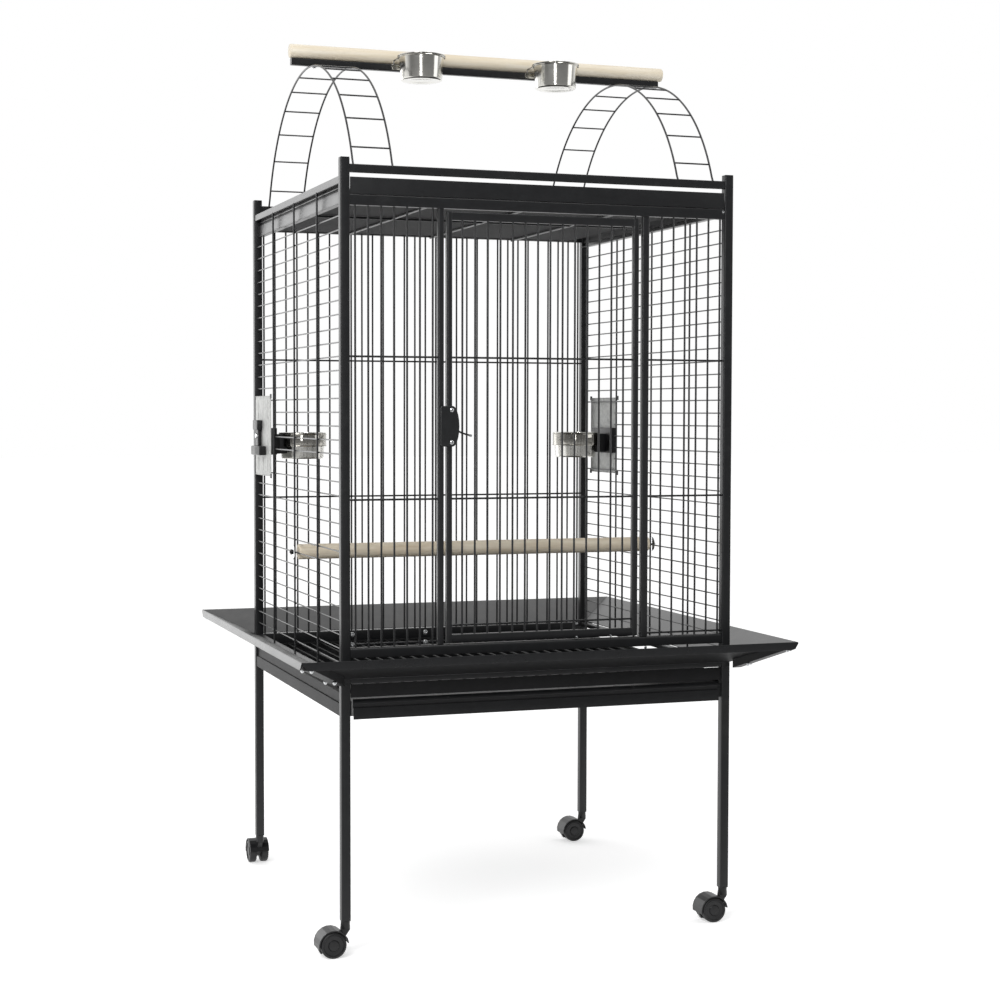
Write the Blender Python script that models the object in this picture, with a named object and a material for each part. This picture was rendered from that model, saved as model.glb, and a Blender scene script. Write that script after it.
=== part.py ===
"""Parrot cage on a wheeled stand, with a play top, as separate solids in metres with +Z up.

The origin is on the floor under the middle of the cage. Sizes below are measured from the
cage's left outer face, its front outer face and the floor, and each mesh is placed from there.
"""
import math

import bmesh
import bpy
import numpy as np
from mathutils import Matrix, Vector

# Driving sizes of the body, outside to outside
WIDTH = 0.810
DEPTH = 0.788
GAP = 0.0003
WIRE = 0.004
POST = 0.018
POST_WALL = 0.0015
TUBE_WALL = 0.0015
POST_TOP = 1.507
LEG_BOTTOM = 0.067
BODY_BASE = 0.5185
MID_X = WIDTH / 2
MID_Y = DEPTH / 2

# The grids lie in the middle of the posts, between flush square tubes
GRID_IN = 0.0070
GRID_OUT = GRID_IN + WIRE
CROSS_OUT = GRID_OUT + WIRE
SIDE_UPRIGHT = (0.0010, 0.0050)
SIDE_ROW = (0.0050, 0.0090)
TUBE_IN = 0.0015
TUBE_OUT = 0.0165
STILE_IN = 0.003
STILE_OUT = 0.015
INSIDE_POST = POST + GAP

# Heights of the level tubes
BASE_RAIL = (BODY_BASE, 0.5285)
BACK_BASE_RAIL = (0.5075, 0.5285)
SILL = (0.567, 0.5865)
HEAD = (1.4185, 1.4380)
BACK_HEAD = (1.4375, 1.4570)
UPPER_RAIL = (1.4797, 1.4945)
SIDE_TOP = (1.4595, 1.4735)

# Back and front bars, one inch apart
BAR_PITCH = 0.0254
BACK_BARS = 31
BACK_FIRST = 0.0231
BACK_CROSS = (1.1495, 0.8389)
FRONT_CROSS = (1.1364, 0.8658)
LOW_CROSS = 0.5922
LEFT_FIRST = 0.0301
LEFT_BARS = 7
RIGHT_FIRST = 0.6579
RIGHT_BARS = 6
LEFT_JAMB = (0.1917, 0.2035)
RIGHT_JAMB = (0.6145, 0.6290)

# Door
DOOR_X = (0.2095, 0.6070)
LEFT_STILE = 0.2203
RIGHT_STILE = 0.5955
DOOR_TOP = (1.397, 1.413)
DOOR_BOTTOM = (0.589, 0.605)
DOOR_LOW_CROSS = 0.622
DOOR_FIRST = 0.2419
DOOR_PITCH = 0.0257
DOOR_BARS = 14
HINGE_X = 0.6010
HINGE_Y = 0.0090
HINGE_PIN = 0.0036
HINGE_HOLE = 0.0058
PIN_REACH = 0.0030

# Latch of the door
LATCH_Z = 1.0050
LATCH_X = (0.1932, 0.2302)
LATCH_HALF = 0.0388
LATCH_FACE = -0.0105
LATCH_BACK = -0.0075
LATCH_SCREW_X = 0.215
LATCH_SCREW_Z = (0.974, 1.036)
LEVER_X = 0.210
LEVER_Z = 1.010
LEVER_PIN = 0.0025

# Side grids
ROWS = 33
ROW_TOP = 1.4007
ROW_PITCH = 0.0264
COLUMNS = (0.197, 0.394, 0.591)
FEEDER_ROWS = (13, 19)
GUIDE_X = (0.0105, 0.0150)
GUIDE_FLANGE = (0.0105, 0.0220, 1.4245, 1.4260)
GUIDE_Z = (1.4245, SIDE_TOP[0])

# Side feeders
FEEDER_PLATE_Y = (0.5995, 0.7550)
FEEDER_PLATE_Z = (0.892, 1.067)
FEEDER_PLATE_X = (-0.0020, -0.0005)
FEEDER_HINGE_X = -0.0030
FEEDER_HINGE_Y = 0.5955
FEEDER_LATCH_Y = 0.705
FEEDER_LATCH_Z = 0.977
BOWL_X = 0.0806
BOWL_Y = 0.6505
BOWL_RIM_Z = 0.9870
BOWL_BASE_Z = 0.9290
BOWL_RIM = 0.0525
BOWL_SIDE = 0.0500
BOWL_FOOT = 0.0465
HOOP_Z = (0.9570, 0.9840)
HOOP_INNER = 0.0507
HOOP_OUTER = 0.0525
SHEET = 0.0012

# Stand
CHANNEL_Z = (0.455, 0.500)
CHANNEL_X = (0.0015, 0.034)
CHANNEL_WALL = 0.002
STAND_BACK_Z = (0.470, 0.500)
TRAY_X = (0.0190, 0.7910)
TRAY_FRONT_X = (0.024, 0.786)
TRAY_FLOOR_Z = (0.4575, 0.4590)
TRAY_WALL_Z = 0.4860
TRAY_FRONT_Z = (0.4508, 0.4727)
TRAY_LIP_Z = (0.4800, 0.4890)
TRAY_BACK_Y = 0.762
GRATE_Z = (0.5008, 0.5068)
GRATE_WIRE_Z = (0.5018, 0.5058)
GRATE_FLANGE_Z = (0.4925, 0.5165)
GRATE_BACK_Y = 0.7675
GRATE_BARS = 29

# Play top
PAN_X = (0.050, 0.760)
PAN_Y = (0.0215, 0.765)
PAN_FLOOR_Z = (1.4395, 1.4410)
PAN_WALL_Z = 1.4630
PAN_FRONT_X = (0.0190, 0.7905)
PAN_FRONT_Z = 1.4707
ROOF_ROD_X = (0.2135, 0.4135, 0.6135)
ROOF_ROD = 0.005
ROOF_Z = 1.4384

# Ladder arches: each rail follows one ellipse, centred over the cage's depth
ARCH_RAILS = (0.0320, 0.1090)
ARCH_HALF_WIDTH = 0.3865
ARCH_HEIGHT = 0.3655
ARCH_CENTRE_Z = 1.3725
ARCH_FOOT_Z = 1.4815
ARCH_FOOT_ROD_Z = 1.4845
ARCH_SEGMENTS = 22
ARCH_ROD = 0.0020
RUNG_ROD = 0.0016
RUNG_FIRST = 0.068
RUNG_BACK_FIRST = 0.0755
RUNG_PITCH = 0.0713
RUNGS = 6

# Perches and cups
BAR_X = (-0.0024, 0.8165)
BAR_Z = (1.7425, 1.7565)
TOP_PERCH_X = (-0.0055, 0.8260)
TOP_PERCH_Z = 1.7711
TOP_PERCH_R = 0.0142
INNER_PERCH_Z = 0.742
INNER_PERCH_R = 0.016
CUP_OFFSET = 0.148
CUP_Y = 0.327
CUP_RIM_Z = 1.7655
CUP_BASE_Z = 1.7140
CUP_RIM = 0.0500
CUP_SIDE = 0.0465
CUP_FOOT = 0.0430
HANGER_R = (0.0472, 0.0492)
HANGER_Z = (1.7595, 1.7635)
HANGER_STEP = 0.3790

# Seed guards: four mitred strips that rise outwards round the base
GUARD_REACH = 0.1010
GUARD_INNER_Z = 0.5300
GUARD_OUTER_Z = 0.5765
GUARD_HEM = 0.0160
GUARD_SHEET = 0.0015
GUARD_START = 0.0005

# Casters
WHEEL_R = 0.025
WHEEL_SIDES = 20
WHEEL_FACES = (0.0056, 0.0215)
AXLE_R = 0.003
TRAIL = 0.027
HOOD_R = (0.0270, 0.0295)

POWDER = ("black_powder_coat", (0.027, 0.028, 0.031, 1.0), 0.42, 0.35)
STEEL = ("stainless_steel", (0.62, 0.61, 0.58, 1.0), 0.18, 1.0)
GALVANISED = ("galvanised_sheet", (0.60, 0.60, 0.58, 1.0), 0.45, 0.9)
WOOD = ("turned_wood", (0.76, 0.68, 0.53, 1.0), 0.62, 0.0)
PLASTIC = ("black_plastic", (0.020, 0.020, 0.022, 1.0), 0.38, 0.0)


def clear_scene():
    for obj in list(bpy.data.objects):
        bpy.data.objects.remove(obj, do_unlink=True)


def material(name, finish):
    """A material of the part's own, with the finish's colour, roughness and metallic value."""
    _, colour, roughness, metallic = finish
    mat = bpy.data.materials.new(name)
    mat.use_nodes = True
    shader = mat.node_tree.nodes["Principled BSDF"]
    shader.inputs["Base Color"].default_value = colour
    shader.inputs["Roughness"].default_value = roughness
    shader.inputs["Metallic"].default_value = metallic
    mat.diffuse_color = colour
    return mat


def to_world(point):
    """A point measured from the left face, the front face and the floor, in world coordinates."""
    return Vector((point[0] - MID_X, point[1] - MID_Y, point[2]))


def new_object(name, bm, finish, pivot=(MID_X, MID_Y, 0.0), smooth=False):
    """Makes an object from a mesh in cage sizes, with its origin at the pivot."""
    bmesh.ops.translate(bm, verts=bm.verts, vec=-Vector(pivot))
    bmesh.ops.recalc_face_normals(bm, faces=bm.faces)
    mesh = bpy.data.meshes.new(name)
    bm.to_mesh(mesh)
    bm.free()
    if smooth:
        mesh.shade_smooth()
        mesh.set_sharp_from_angle(angle=math.radians(35))
    obj = bpy.data.objects.new(name, mesh)
    obj.location = to_world(pivot)
    bpy.context.collection.objects.link(obj)
    if finish is not None:
        mesh.materials.append(material(name, finish))
    return obj


def cutter(name, bm, pivot=(MID_X, MID_Y, 0.0)):
    """An operand of a Boolean, which is a guide and not a piece."""
    obj = new_object(name, bm, None, pivot)
    obj.hide_render = True
    obj.display_type = "WIRE"
    return obj


def boolean(obj, other, operation="UNION"):
    mod = obj.modifiers.new(operation.lower(), "BOOLEAN")
    mod.operation = operation
    mod.solver = "EXACT"
    mod.object = other


def mirrored(box):
    """The same box on the cage's right side."""
    x0, x1, *rest = box
    return (WIDTH - x1, WIDTH - x0, *rest)


def welded(boxes, cuts=()):
    """One closed mesh round the union of level boxes, each (x0, x1, y0, y1, z0, z1), less the cuts."""
    both = [*boxes, *cuts]
    lines = [sorted({round(v, 6) for b in both for v in b[2 * k:2 * k + 2]}) for k in range(3)]
    place = [{v: i for i, v in enumerate(axis)} for axis in lines]
    filled = np.zeros([len(axis) + 1 for axis in lines], bool)
    for n, b in enumerate(both):
        cells = tuple(
            slice(place[k][round(b[2 * k], 6)] + 1, place[k][round(b[2 * k + 1], 6)] + 1)
            for k in range(3)
        )
        filled[cells] = n < len(boxes)
    bm = bmesh.new()
    corners = {}

    def vert(i, j, k):
        if (i, j, k) not in corners:
            corners[i, j, k] = bm.verts.new((lines[0][i], lines[1][j], lines[2][k]))
        return corners[i, j, k]

    for axis in range(3):
        step = np.diff(filled.astype(int), axis=axis)
        u, v = [a for a in range(3) if a != axis]
        for cell in np.argwhere(step != 0):
            # The face lies on the line that ends the lower cell.
            low = [cell[0] - 1, cell[1] - 1, cell[2] - 1]
            low[axis] = cell[axis]
            ring = []
            for du, dv in ((0, 0), (1, 0), (1, 1), (0, 1)):
                at = list(low)
                at[u] += du
                at[v] += dv
                ring.append(vert(*at))
            bm.faces.new(ring)
    bmesh.ops.recalc_face_normals(bm, faces=bm.faces)
    bmesh.ops.dissolve_limit(bm, angle_limit=math.radians(0.5), verts=bm.verts, edges=bm.edges)
    return bm


def turned(profile, centre, steps, axis="Z"):
    """A closed solid turned from (radius, height) points round a line through the centre."""
    bm = bmesh.new()
    ring = [bm.verts.new((r, 0.0, z)) for r, z in profile]
    edges = [bm.edges.new((ring[i], ring[(i + 1) % len(ring)])) for i in range(len(ring))]
    bmesh.ops.spin(
        bm, geom=ring + edges, cent=(0, 0, 0), axis=(0, 0, 1), angle=2 * math.pi,
        steps=steps, use_duplicate=False,
    )
    bmesh.ops.remove_doubles(bm, verts=bm.verts, dist=1e-6)
    bmesh.ops.dissolve_degenerate(bm, edges=bm.edges, dist=1e-7)
    turns = {
        "Z": Matrix(),
        "X": Matrix.Rotation(math.pi / 2, 4, "Y"),
        "Y": Matrix.Rotation(-math.pi / 2, 4, "X"),
    }
    bmesh.ops.transform(bm, matrix=Matrix.Translation(centre) @ turns[axis], verts=bm.verts)
    return bm


def rod(bm, start, end, radius, sides):
    """Adds a straight round rod to a mesh."""
    start, end = Vector(start), Vector(end)
    turn = (end - start).to_track_quat("Z", "X").to_matrix().to_4x4()
    bmesh.ops.create_cone(
        bm, cap_ends=True, segments=sides, radius1=radius, radius2=radius,
        depth=(end - start).length, matrix=Matrix.Translation((start + end) / 2) @ turn,
    )


def extruded(outline, axis, low, high):
    """A prism over a closed outline in the plane across the axis."""
    bm = bmesh.new()
    if axis == "Y":
        verts = [bm.verts.new((a, low, b)) for a, b in outline]
        way = Vector((0, high - low, 0))
    else:
        verts = [bm.verts.new((low, a, b)) for a, b in outline]
        way = Vector((high - low, 0, 0))
    face = bm.faces.new(verts)
    grown = bmesh.ops.extrude_face_region(bm, geom=[face])
    moved = [g for g in grown["geom"] if isinstance(g, bmesh.types.BMVert)]
    bmesh.ops.translate(bm, verts=moved, vec=way)
    return bm


def arc(centre, radius, start, end, steps):
    """Points along an arc, angles in degrees from the first axis."""
    return [
        (
            centre[0] + radius * math.cos(math.radians(start + (end - start) * i / steps)),
            centre[1] + radius * math.sin(math.radians(start + (end - start) * i / steps)),
        )
        for i in range(steps + 1)
    ]


def bars(first, pitch, count, z0, z1, y=(GRID_IN, GRID_OUT)):
    """Upright square bars of a front or back grid."""
    half = WIRE / 2
    return [
        (first + i * pitch - half, first + i * pitch + half, *y, z0, z1) for i in range(count)
    ]


def crossbars(heights, x0, x1, y=(GRID_OUT, CROSS_OUT)):
    """Level wires welded behind the bars."""
    return [(x0, x1, *y, z - WIRE / 2, z + WIRE / 2) for z in heights]


def make_posts_and_legs():
    """Square tubes: the posts are capped on top, the legs are open at both ends."""
    corners = {
        "front_left": (0.0, 0.0),
        "front_right": (WIDTH - POST, 0.0),
        "back_left": (0.0, DEPTH - POST),
        "back_right": (WIDTH - POST, DEPTH - POST),
    }
    for where, (x, y) in corners.items():
        outer = (x, x + POST, y, y + POST)
        for name, z0, z1, cap in (
            ("corner_post_", BODY_BASE, POST_TOP, 0.002),
            ("stand_leg_", LEG_BOTTOM, BODY_BASE - GAP, 0.0),
        ):
            walls = [
                (x, x + POST_WALL, y, y + POST, z0, z1),
                (x + POST - POST_WALL, x + POST, y, y + POST, z0, z1),
                (x, x + POST, y, y + POST_WALL, z0, z1),
                (x, x + POST, y + POST - POST_WALL, y + POST, z0, z1),
            ]
            if cap:
                walls.append((*outer, z1 - cap, z1))
            new_object(name + where, welded(walls), POWDER)


def make_rails():
    across = (INSIDE_POST, WIDTH - INSIDE_POST)
    front = (TUBE_IN, TUBE_OUT)
    back = (DEPTH - TUBE_OUT, DEPTH - TUBE_IN)
    half = HINGE_HOLE / 2
    hole = (HINGE_X - half, HINGE_X + half, HINGE_Y - half, HINGE_Y + half)
    holes = {
        "door_sill_rail": (*hole, SILL[1] - TUBE_WALL, SILL[1]),
        "door_head_rail": (*hole, HEAD[0], HEAD[0] + TUBE_WALL),
    }
    for name, y, z in (
        ("front_base_rail", front, BASE_RAIL),
        ("door_sill_rail", front, SILL),
        ("door_head_rail", front, HEAD),
        ("upper_front_rail", front, UPPER_RAIL),
        ("upper_back_rail", back, UPPER_RAIL),
        ("stand_back_rail", back, STAND_BACK_Z),
    ):
        bore = (y[0] + TUBE_WALL, y[1] - TUBE_WALL, z[0] + TUBE_WALL, z[1] - TUBE_WALL)
        cuts = [(*across, *bore)]
        if name in holes:
            cuts.append(holes[name])
        new_object(name, welded([(*across, *y, *z)], cuts), POWDER)
    y0, y1 = INSIDE_POST, DEPTH - INSIDE_POST
    x0, x1 = CHANNEL_X
    z0, z1 = CHANNEL_Z
    channel = [
        (x0, x0 + CHANNEL_WALL, y0, y1, z0, z1),
        (x0, x1, y0, y1, z0, z0 + CHANNEL_WALL),
        (x0, x1, y0, y1, z1 - CHANNEL_WALL, z1),
    ]
    new_object("stand_left_rail", welded(channel), POWDER)
    new_object("stand_right_rail", welded([mirrored(b) for b in channel]), POWDER)


def make_back_panel():
    y = (DEPTH - GRID_OUT, DEPTH - GRID_IN)
    tube = (DEPTH - TUBE_OUT, DEPTH - TUBE_IN)
    x0, x1 = INSIDE_POST, WIDTH - INSIDE_POST
    boxes = bars(BACK_FIRST, BAR_PITCH, BACK_BARS, BACK_BASE_RAIL[0], BACK_HEAD[1], y)
    boxes += crossbars(BACK_CROSS, x0, x1, (DEPTH - CROSS_OUT, DEPTH - GRID_OUT))
    boxes += [(x0, x1, *tube, *BACK_BASE_RAIL), (x0, x1, *tube, *BACK_HEAD)]
    new_object("back_panel", welded(boxes), POWDER)


def make_front_panels():
    """Fixed front grids left and right of the door, each with its door jamb."""
    z0, z1 = SILL[1] + GAP, HEAD[0] - GAP
    heights = (*FRONT_CROSS, LOW_CROSS)
    boxes = bars(LEFT_FIRST, BAR_PITCH, LEFT_BARS, z0, z1)
    boxes += crossbars(heights, INSIDE_POST, LEFT_JAMB[1])
    boxes.append((*LEFT_JAMB, STILE_IN, STILE_OUT, z0, z1))
    new_object("front_left_panel", welded(boxes), POWDER)

    boxes = bars(RIGHT_FIRST, BAR_PITCH, RIGHT_BARS, z0, z1)
    boxes += crossbars(heights, RIGHT_JAMB[0], WIDTH - INSIDE_POST)
    boxes.append((*RIGHT_JAMB, STILE_IN, STILE_OUT, z0, z1))
    new_object("front_right_panel", welded(boxes), POWDER)


def make_door():
    """Main door: it turns on a pin in the head rail and one in the sill, and opens outwards."""
    z0, z1 = DOOR_BOTTOM[0], DOOR_TOP[1]
    deep = (STILE_IN, STILE_OUT)
    boxes = bars(DOOR_FIRST, DOOR_PITCH, DOOR_BARS, z0, z1)
    boxes += crossbars((*FRONT_CROSS, DOOR_LOW_CROSS), *DOOR_X)
    boxes += [
        (DOOR_X[0], LEFT_STILE, *deep, z0, z1),
        (RIGHT_STILE, DOOR_X[1], *deep, z0, z1),
        (*DOOR_X, *deep, *DOOR_TOP),
        (*DOOR_X, *deep, *DOOR_BOTTOM),
    ]
    half = HINGE_PIN / 2
    for span in ((SILL[1] - PIN_REACH, z0), (z1, HEAD[0] + PIN_REACH)):
        pin = (HINGE_X - half, HINGE_X + half, HINGE_Y - half, HINGE_Y + half, *span)
        boxes.append(pin)
    new_object("main_door", welded(boxes), POWDER, pivot=(HINGE_X, HINGE_Y, z0))


def make_latch():
    """Cover plate on the door's stile, and the lever that turns behind it."""
    x0, x1 = LATCH_X
    bulge = x1 - 0.013
    outline = [(x0, LATCH_Z - LATCH_HALF + 0.004), (x0 + 0.004, LATCH_Z - LATCH_HALF)]
    outline += [(bulge, LATCH_Z - LATCH_HALF), (x1 - 0.004, LATCH_Z - 0.026)]
    outline += [(x1, LATCH_Z - 0.012), (x1, LATCH_Z + 0.012), (x1 - 0.004, LATCH_Z + 0.026)]
    outline += [(bulge, LATCH_Z + LATCH_HALF), (x0 + 0.004, LATCH_Z + LATCH_HALF)]
    outline.append((x0, LATCH_Z + LATCH_HALF - 0.004))
    pivot = (HINGE_X, HINGE_Y, DOOR_BOTTOM[0])
    plate = new_object(
        "door_latch_cover", extruded(outline, "Y", LATCH_FACE, LATCH_BACK), PLASTIC, pivot=pivot
    )
    bosses = bmesh.new()
    start, end = LATCH_FACE + 0.001, STILE_IN - GAP
    for z in LATCH_SCREW_Z:
        rod(bosses, (LATCH_SCREW_X, start, z), (LATCH_SCREW_X, end, z), 0.004, 12)
    rod(bosses, (LEVER_X, start, LEVER_Z), (LEVER_X, end, LEVER_Z), LEVER_PIN, 12)
    boolean(plate, cutter("latch_bosses", bosses, pivot))

    hub = (LEVER_X, LEVER_Z)
    tongue = [(LEVER_X - 0.013, LEVER_Z - 0.004), (LEVER_X - 0.013, LEVER_Z + 0.003)]
    outline = arc(hub, 0.0062, 140, -75, 10) + tongue
    pivot = (LEVER_X, 0.0, LEVER_Z)
    lever = new_object(
        "door_latch_lever", extruded(outline, "Y", LATCH_BACK + GAP, STILE_IN - GAP), POWDER,
        pivot=pivot,
    )
    handle = bmesh.new()
    rod(handle, (LEVER_X + 0.0045, -0.0025, LEVER_Z - 0.0035), (0.2300, -0.0025, 0.9945), 0.0016, 8)
    handle_end = bmesh.new()
    rod(handle_end, (0.2290, -0.0025, 0.9948), (0.2560, -0.0055, 0.9865), 0.0018, 8)
    boolean(lever, cutter("latch_handle", handle, pivot))
    boolean(lever, cutter("latch_handle_end", handle_end, pivot))
    eye = bmesh.new()
    rod(eye, (LEVER_X, -0.02, LEVER_Z), (LEVER_X, 0.02, LEVER_Z), LEVER_PIN + 0.0003, 12)
    boolean(lever, cutter("latch_eye", eye, pivot), "DIFFERENCE")


def side_panel_boxes():
    """Left side: rows of wire behind three uprights, a top tube, a base rail and a tray guide."""
    y0, y1 = INSIDE_POST, DEPTH - INSIDE_POST
    half = WIRE / 2
    boxes = [(TUBE_IN, TUBE_OUT, y0, y1, *SIDE_TOP), (TUBE_IN, TUBE_OUT, y0, y1, *BASE_RAIL)]
    boxes += [(*SIDE_UPRIGHT, y - half, y + half, BASE_RAIL[0], SIDE_TOP[1]) for y in COLUMNS]
    for k in range(ROWS):
        z = ROW_TOP - k * ROW_PITCH
        # The feeder's doorway reaches from the last upright to the back post.
        doorway = FEEDER_ROWS[0] < k < FEEDER_ROWS[1]
        boxes.append((*SIDE_ROW, y0, COLUMNS[-1] + half if doorway else y1, z - half, z + half))
    boxes.append((*GUIDE_X, y0, y1, *GUIDE_Z))
    boxes.append((*GUIDE_FLANGE[:2], y0, y1, *GUIDE_FLANGE[2:]))
    return boxes


def make_side_panels():
    boxes = side_panel_boxes()
    new_object("left_side_panel", welded(boxes), POWDER)
    new_object("right_side_panel", welded([mirrored(b) for b in boxes]), POWDER)


def bowl_profile(rim, side, foot, rim_z, base_z, lip):
    """A pressed steel cup: a flat foot, a nearly straight side and a rolled rim."""
    t = SHEET
    return [
        (0.0, base_z), (foot - 0.003, base_z), (foot, base_z + 0.003),
        (side, rim_z - lip), (rim, rim_z - lip), (rim, rim_z), (side - t, rim_z),
        (foot - t, base_z + 0.0045), (foot - 0.0045, base_z + t), (0.0, base_z + t),
    ]


def make_feeders():
    """Plate doors in the side grids, each with a hoop and its bowl inside and a latch outside."""
    plate_out, plate_in = FEEDER_PLATE_X
    y, z = FEEDER_LATCH_Y, FEEDER_LATCH_Z
    plate = [(*FEEDER_PLATE_X, *FEEDER_PLATE_Y, *FEEDER_PLATE_Z)]
    for y0 in (FEEDER_PLATE_Y[0] - 0.007, FEEDER_PLATE_Y[1] - 0.001):
        for z0 in (FEEDER_PLATE_Z[0] - 0.004, FEEDER_PLATE_Z[1] - 0.006):
            plate.append((plate_out - 0.0015, plate_in - 0.0005, y0, y0 + 0.008, z0, z0 + 0.010))
    # The holder block reaches through the doorway, and an arm joins it to the hoop.
    plate.append((plate_out, 0.0130, 0.6020, 0.7160, 0.9390, 0.9970))
    plate.append((plate_out, BOWL_X - 0.0500, BOWL_Y - 0.022, BOWL_Y + 0.022, 0.9400, 0.9838))
    hole = 0.0046
    pocket = (plate_out, 0.0090, y - hole, y + hole, z - hole, z + hole)
    face = plate_out - GAP
    latch = [
        (face - 0.0060, 0.0080, y - 0.003, y + 0.003, z - 0.003, z + 0.003),
        (face - 0.0080, face, y - 0.013, y + 0.016, 0.945, 1.000),
        (face - 0.0120, face, y - 0.022, y + 0.024, 0.992, 1.014),
        (face - 0.0160, face, y - 0.060, y + 0.024, 0.937, 0.957),
    ]
    for side in ("left", "right"):
        flip = side == "right"
        own = [mirrored(b) for b in plate] if flip else plate
        cut = mirrored(pocket) if flip else pocket
        own_latch = [mirrored(b) for b in latch] if flip else latch
        x = WIDTH - BOWL_X if flip else BOWL_X
        hinge_x = WIDTH - FEEDER_HINGE_X if flip else FEEDER_HINGE_X
        hinge = (hinge_x, FEEDER_HINGE_Y, FEEDER_PLATE_Z[0])
        door = new_object(side + "_feeder_door", welded(own, [cut]), GALVANISED, pivot=hinge)
        hoop = turned(
            [(HOOP_INNER, HOOP_Z[0]), (HOOP_OUTER, HOOP_Z[0]), (HOOP_OUTER, HOOP_Z[1]),
             (HOOP_INNER, HOOP_Z[1])],
            (x, BOWL_Y, 0.0), 24,
        )
        boolean(door, cutter(side + "_hoop", hoop, hinge))
        well = turned(
            [(0.0, HOOP_Z[0] - 0.05), (HOOP_INNER, HOOP_Z[0] - 0.05),
             (HOOP_INNER, HOOP_Z[1] + 0.05), (0.0, HOOP_Z[1] + 0.05)],
            (x, BOWL_Y, 0.0), 24,
        )
        boolean(door, cutter(side + "_bowl_well", well, hinge), "DIFFERENCE")
        new_object(
            side + "_feeder_latch", welded(own_latch), PLASTIC,
            pivot=(hinge_x, y, z),
        )
        bowl = turned(
            bowl_profile(BOWL_RIM, BOWL_SIDE, BOWL_FOOT, BOWL_RIM_Z, BOWL_BASE_Z, 0.0026),
            (x, BOWL_Y, 0.0), 24,
        )
        new_object(side + "_feeder_bowl", bowl, STEEL, (x, BOWL_Y, BOWL_BASE_Z), smooth=True)


def make_drawers():
    """Waste tray, floor grate and play-top pan, which all slide out to the front."""
    x0, x1 = TRAY_X
    t = 0.0015
    fx0, fx1 = TRAY_FRONT_X
    tray = [
        (x0, x1, 0.0030, TRAY_BACK_Y, *TRAY_FLOOR_Z),
        (x0, x0 + t, 0.0030, TRAY_BACK_Y, TRAY_FLOOR_Z[0], TRAY_WALL_Z),
        (x1 - t, x1, 0.0030, TRAY_BACK_Y, TRAY_FLOOR_Z[0], TRAY_WALL_Z),
        (x0, x1, TRAY_BACK_Y - t, TRAY_BACK_Y, TRAY_FLOOR_Z[0], TRAY_WALL_Z),
        (fx0, fx1, 0.0010, 0.0030, *TRAY_FRONT_Z),
        (fx0, fx1, 0.0010, 0.0070, TRAY_FRONT_Z[1] - t, TRAY_FRONT_Z[1]),
        (fx0, fx1, 0.0055, 0.0070, TRAY_FRONT_Z[1] - t, TRAY_LIP_Z[1]),
        (fx0, fx1, 0.0025, 0.0070, *TRAY_LIP_Z),
    ]
    new_object("waste_tray", welded(tray), POWDER)

    frame = 0.006
    pitch = (x1 - x0 - frame) / (GRATE_BARS + 1)
    y0, y1 = 0.0025, GRATE_BACK_Y
    grate = [
        (x0, x0 + frame, y0, y1, *GRATE_Z),
        (x1 - frame, x1, y0, y1, *GRATE_Z),
        (x0, x1, y1 - frame, y1, *GRATE_Z),
        (x0, x1, y0, y0 + 0.002, *GRATE_FLANGE_Z),
        (x0, x1, MID_Y - WIRE / 2, MID_Y + WIRE / 2, *GRATE_WIRE_Z),
    ]
    for i in range(1, GRATE_BARS + 1):
        x = x0 + frame / 2 + i * pitch
        grate.append((x - WIRE / 2, x + WIRE / 2, y0, y1, *GRATE_WIRE_Z))
    new_object("floor_grate", welded(grate), POWDER)

    x0, x1 = PAN_X
    y0, y1 = PAN_Y
    pan = [
        (x0, x1, 0.0025, y1, *PAN_FLOOR_Z),
        (x0, x0 + t, y0, y1, PAN_FLOOR_Z[0], PAN_WALL_Z),
        (x1 - t, x1, y0, y1, PAN_FLOOR_Z[0], PAN_WALL_Z),
        (x0, x1, y1 - t, y1, PAN_FLOOR_Z[0], PAN_WALL_Z),
        (*PAN_FRONT_X, 0.0025, 0.0045, PAN_FLOOR_Z[0], PAN_FRONT_Z),
    ]
    new_object("play_top_pan", welded(pan), POWDER)

    z = (ROOF_Z - ROOF_ROD, ROOF_Z)
    y0, y1 = TUBE_OUT + GAP, DEPTH - TUBE_OUT - GAP
    half = ROOF_ROD / 2
    rods = [(x - half, x + half, y0, y1, *z) for x in ROOF_ROD_X]
    x0 = GUIDE_X[1] + GAP
    rods.append((x0, WIDTH - x0, MID_Y - half, MID_Y + half, *z))
    new_object("roof_rods", welded(rods), POWDER)


def arch_point(way):
    """A point (y, z) of the arch's ellipse, from its back foot at 0 to its front foot at 1."""
    rise = (ARCH_FOOT_Z - ARCH_CENTRE_Z) / ARCH_HEIGHT
    foot = math.acos(rise)
    angle = foot * (1 - 2 * way)
    return (
        MID_Y + ARCH_HALF_WIDTH * math.sin(angle),
        ARCH_CENTRE_Z + ARCH_HEIGHT * math.cos(angle),
    )


def arch_rung_points():
    """Places of the rungs, at equal steps along the arch from its top."""
    fine = 2000
    pts = np.array([arch_point(i / fine) for i in range(fine + 1)])
    run = np.concatenate([[0.0], np.cumsum(np.hypot(*np.diff(pts, axis=0).T))])
    places = []
    for n in range(RUNGS):
        for side, first in ((-1, RUNG_BACK_FIRST), (1, RUNG_FIRST)):
            along = run[-1] / 2 + side * (first + n * RUNG_PITCH)
            places.append((np.interp(along, run, pts[:, 0]), np.interp(along, run, pts[:, 1])))
    return places


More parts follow.
